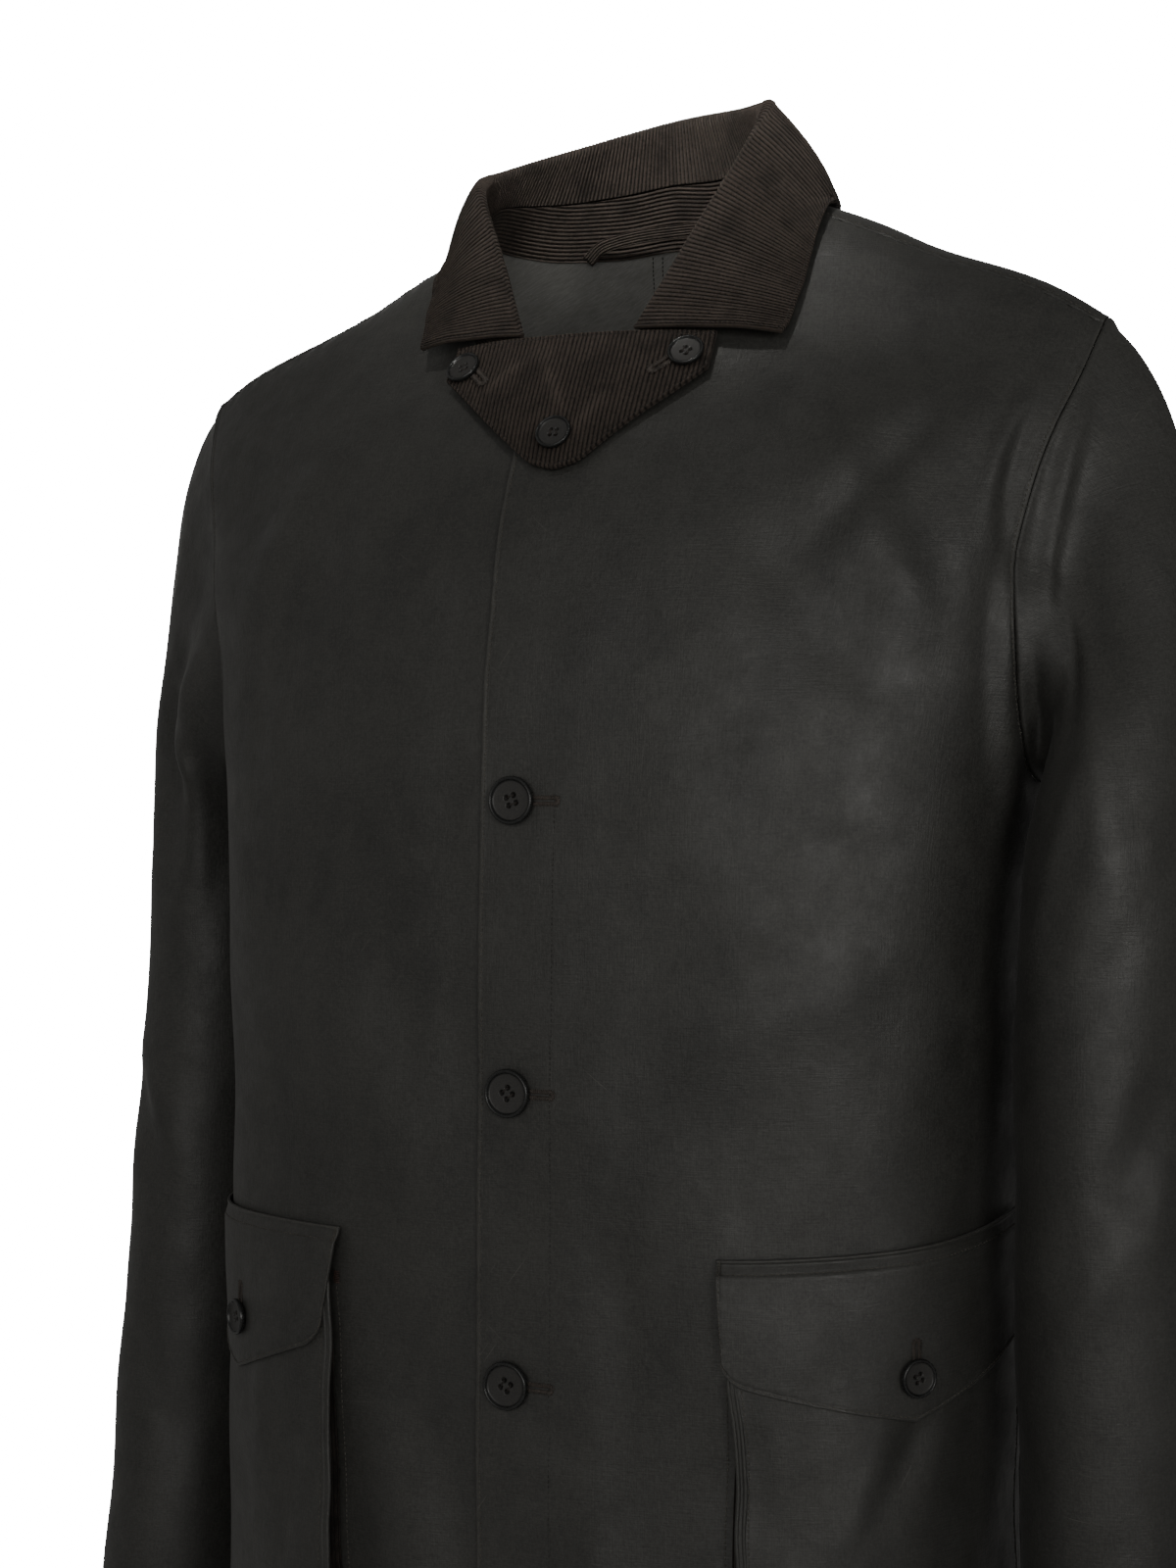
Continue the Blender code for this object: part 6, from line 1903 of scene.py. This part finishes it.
def worked_hole(points, out, half_width, bar, crossing, fans):
    """The stitches across a buttonhole, and those that fan out around its end."""
    run = run_along(points, 0)
    count = max(int(run[-1] / HOLE_PITCH), 4)
    along = unit(np.gradient(points, axis=0))

    def stitch(start, end, up, radius):
        line = np.array([start, (start + end) / 2 + up * HOLE_RISE, end])
        return tube(line, np.broadcast_to(up, (3, 3)), radius, 5)

    for number in range(count):
        at = (number + 0.5) * run[-1] / count
        centre, way, up = (read_run(at, run, values) for values in (points, along, out))
        up = unit(up)
        side = unit(np.cross(way, up))
        for sign in (-1, 1):
            reach = bar * (0.9 + 0.18 * math.sin(number * 2.3 + sign))
            start = centre + side * sign * half_width * HOLE_START
            end = start + side * sign * reach + way * 0.0001 * math.sin(number * 3.1)
            crossing.append(stitch(start, end, up, 0.00027))
    way, up = along[-1], unit(out[-1])
    side = unit(np.cross(way, up))
    for number in range(13):
        turned = math.radians(-96 + 16 * number)
        ray = way * math.cos(turned) + side * math.sin(turned)
        start = points[-1] + ray * half_width * HOLE_START
        end = start + ray * bar * (1.0 + 0.2 * math.sin(number * 2.7))
        fans.append(stitch(start, end, up, 0.00036))


def make_buttonholes():
    """The worked holes that show beside the buttons."""
    crossing, fans = [], []
    for height in FRONT_BUTTON_HEIGHTS:
        x = np.linspace(-0.0020, 0.0215, 24)
        hole = on_face(x, np.full(len(x), height), FRONT, lap_lift(x, 1) + THREAD_LIFT)
        worked_hole(*hole, 0.0012, 0.0020, crossing, fans)
    t = np.linspace(0, 1, 16)
    for x, height in TAB_BUTTONS[:2]:
        x, z = x - math.copysign(1, x) * (0.004 + 0.010 * t), height - 0.008 * t
        hole = on_face(x, z, FRONT, tab_lift(z) + CORDUROY + WALE_HEIGHT)
        worked_hole(*hole, 0.0014, 0.0025, crossing, fans)
    for hand in SIDES:
        girth = np.full(16, FLAP_START + FLAP_WIDTH * FLAP_TIP[hand])
        z = np.linspace(POCKET_BUTTON_HEIGHT, POCKET_BUTTON_HEIGHT + 0.0155, 16)
        worked_hole(*on_flap(girth, z, hand, 0), 0.0012, 0.0020, crossing, fans)
    piece("buttonholes", *join(crossing + fans), "gimp", "waxed_cotton")


def make_buttons():
    def sewn(node, place, diameter, spin):
        make_button(node, place[0][0], place[1][0], diameter, spin)

    for number, height in enumerate(FRONT_BUTTON_HEIGHTS, 1):
        lift = LAP_SHIFT + BUTTON_CLEARANCE
        sewn(f"front_button_{number}", on_face(np.zeros(1), np.full(1, height), FRONT, lift),
             FRONT_BUTTON, 0.35 * number)
    for number, (x, height) in enumerate(TAB_BUTTONS, 1):
        lift = tab_lift(height) + CORDUROY + BUTTON_CLEARANCE
        sewn(f"tab_button_{number}", on_face(np.full(1, x), np.full(1, height), FRONT, lift),
             SMALL_BUTTON, 0.5 * number)
    for hand, side in SIDES.items():
        girth = np.full(1, FLAP_START + FLAP_WIDTH * FLAP_TIP[hand])
        height = np.full(1, POCKET_BUTTON_HEIGHT)
        sewn(f"pocket_button_{side}", on_flap(girth, height, hand, BUTTON_CLEARANCE),
             SMALL_BUTTON, 0.4)


# ---------------------------------------------------------------- the studio

def stand(name, data, right, up, back, position):
    """Puts a camera or a light in the scene, by its own three directions."""
    item = bpy.data.objects.new(name, data)
    matrix = np.eye(4)
    matrix[:3] = np.stack([right, up, back, position], axis=-1)
    item.matrix_world = Matrix(matrix.tolist())
    bpy.context.scene.collection.objects.link(item)
    return item


def make_camera():
    sine, cosine = math.sin(YAW), math.cos(YAW)
    dip, level = math.sin(PITCH), math.cos(PITCH)
    forward = np.array([-sine * level, cosine * level, -dip])
    right = np.array([cosine, sine, 0.0])
    position = np.array([CAMERA_ASIDE * cosine + CAMERA_DISTANCE * sine,
                         CAMERA_ASIDE * sine - CAMERA_DISTANCE * cosine, CAMERA_HEIGHT])
    camera = bpy.data.cameras.new("camera")
    camera.sensor_fit = "AUTO"
    camera.sensor_width = SENSOR
    camera.lens = SENSOR * FOCAL_PIXELS / IMAGE_HEIGHT
    camera.clip_start, camera.clip_end = 0.05, 50
    item = stand("camera", camera, right, np.cross(right, forward), -forward, position)
    bpy.context.scene.camera = item


def area_light(name, position, target, size, power, spread):
    light = bpy.data.lights.new(name, "AREA")
    light.shape = "RECTANGLE"
    light.size, light.size_y = size
    light.energy = power
    light.spread = math.radians(spread)
    light.color = LIGHT_TINT
    way = unit(np.array(target) - np.array(position))
    side = unit(np.cross(way, np.array([0, 0, 1.0])))
    stand(name, light, side, np.cross(side, way), -way, position)


def make_studio():
    turn = np.arange(FLOOR_CORNERS) * 2 * math.pi / FLOOR_CORNERS
    points = np.stack([FLOOR_RADIUS * np.cos(turn), FLOOR_RADIUS * np.sin(turn),
                       np.full(FLOOR_CORNERS, FLOOR_HEIGHT)], axis=-1)
    floor = add_mesh("floor", points, [tuple(range(FLOOR_CORNERS))])
    floor.data.materials.append(plain_stage())
    world = bpy.data.worlds.new("studio")
    bpy.context.scene.world = world
    world.use_nodes = True
    nodes, link = world.node_tree.nodes, world.node_tree.links.new
    lit, seen = nodes["Background"], nodes.new("ShaderNodeBackground")
    for shader, tint, strength in ((lit, LIGHT_TINT, AMBIENT), (seen, (1, 1, 1), BACKDROP)):
        shader.inputs["Color"].default_value = (*tint, 1)
        shader.inputs["Strength"].default_value = strength
    mixer = nodes.new("ShaderNodeMixShader")
    link(nodes.new("ShaderNodeLightPath").outputs["Is Camera Ray"], mixer.inputs[0])
    link(lit.outputs[0], mixer.inputs[1])
    link(seen.outputs[0], mixer.inputs[2])
    link(mixer.outputs[0], nodes["World Output"].inputs["Surface"])
    for light in LIGHTS:
        area_light(*light)


for each_hand in SIDES:
    make_front(each_hand)
    make_sleeve(each_hand)
make_back()
make_collar()
make_tab()
for each_hand in SIDES:
    make_pocket(each_hand)
    make_gusset(each_hand)
    make_piping(each_hand)
    make_flap(each_hand)
    make_tacks(each_hand)
make_loop()
make_lining_seam()
make_buttons()
make_buttonholes()
make_camera()
make_studio()
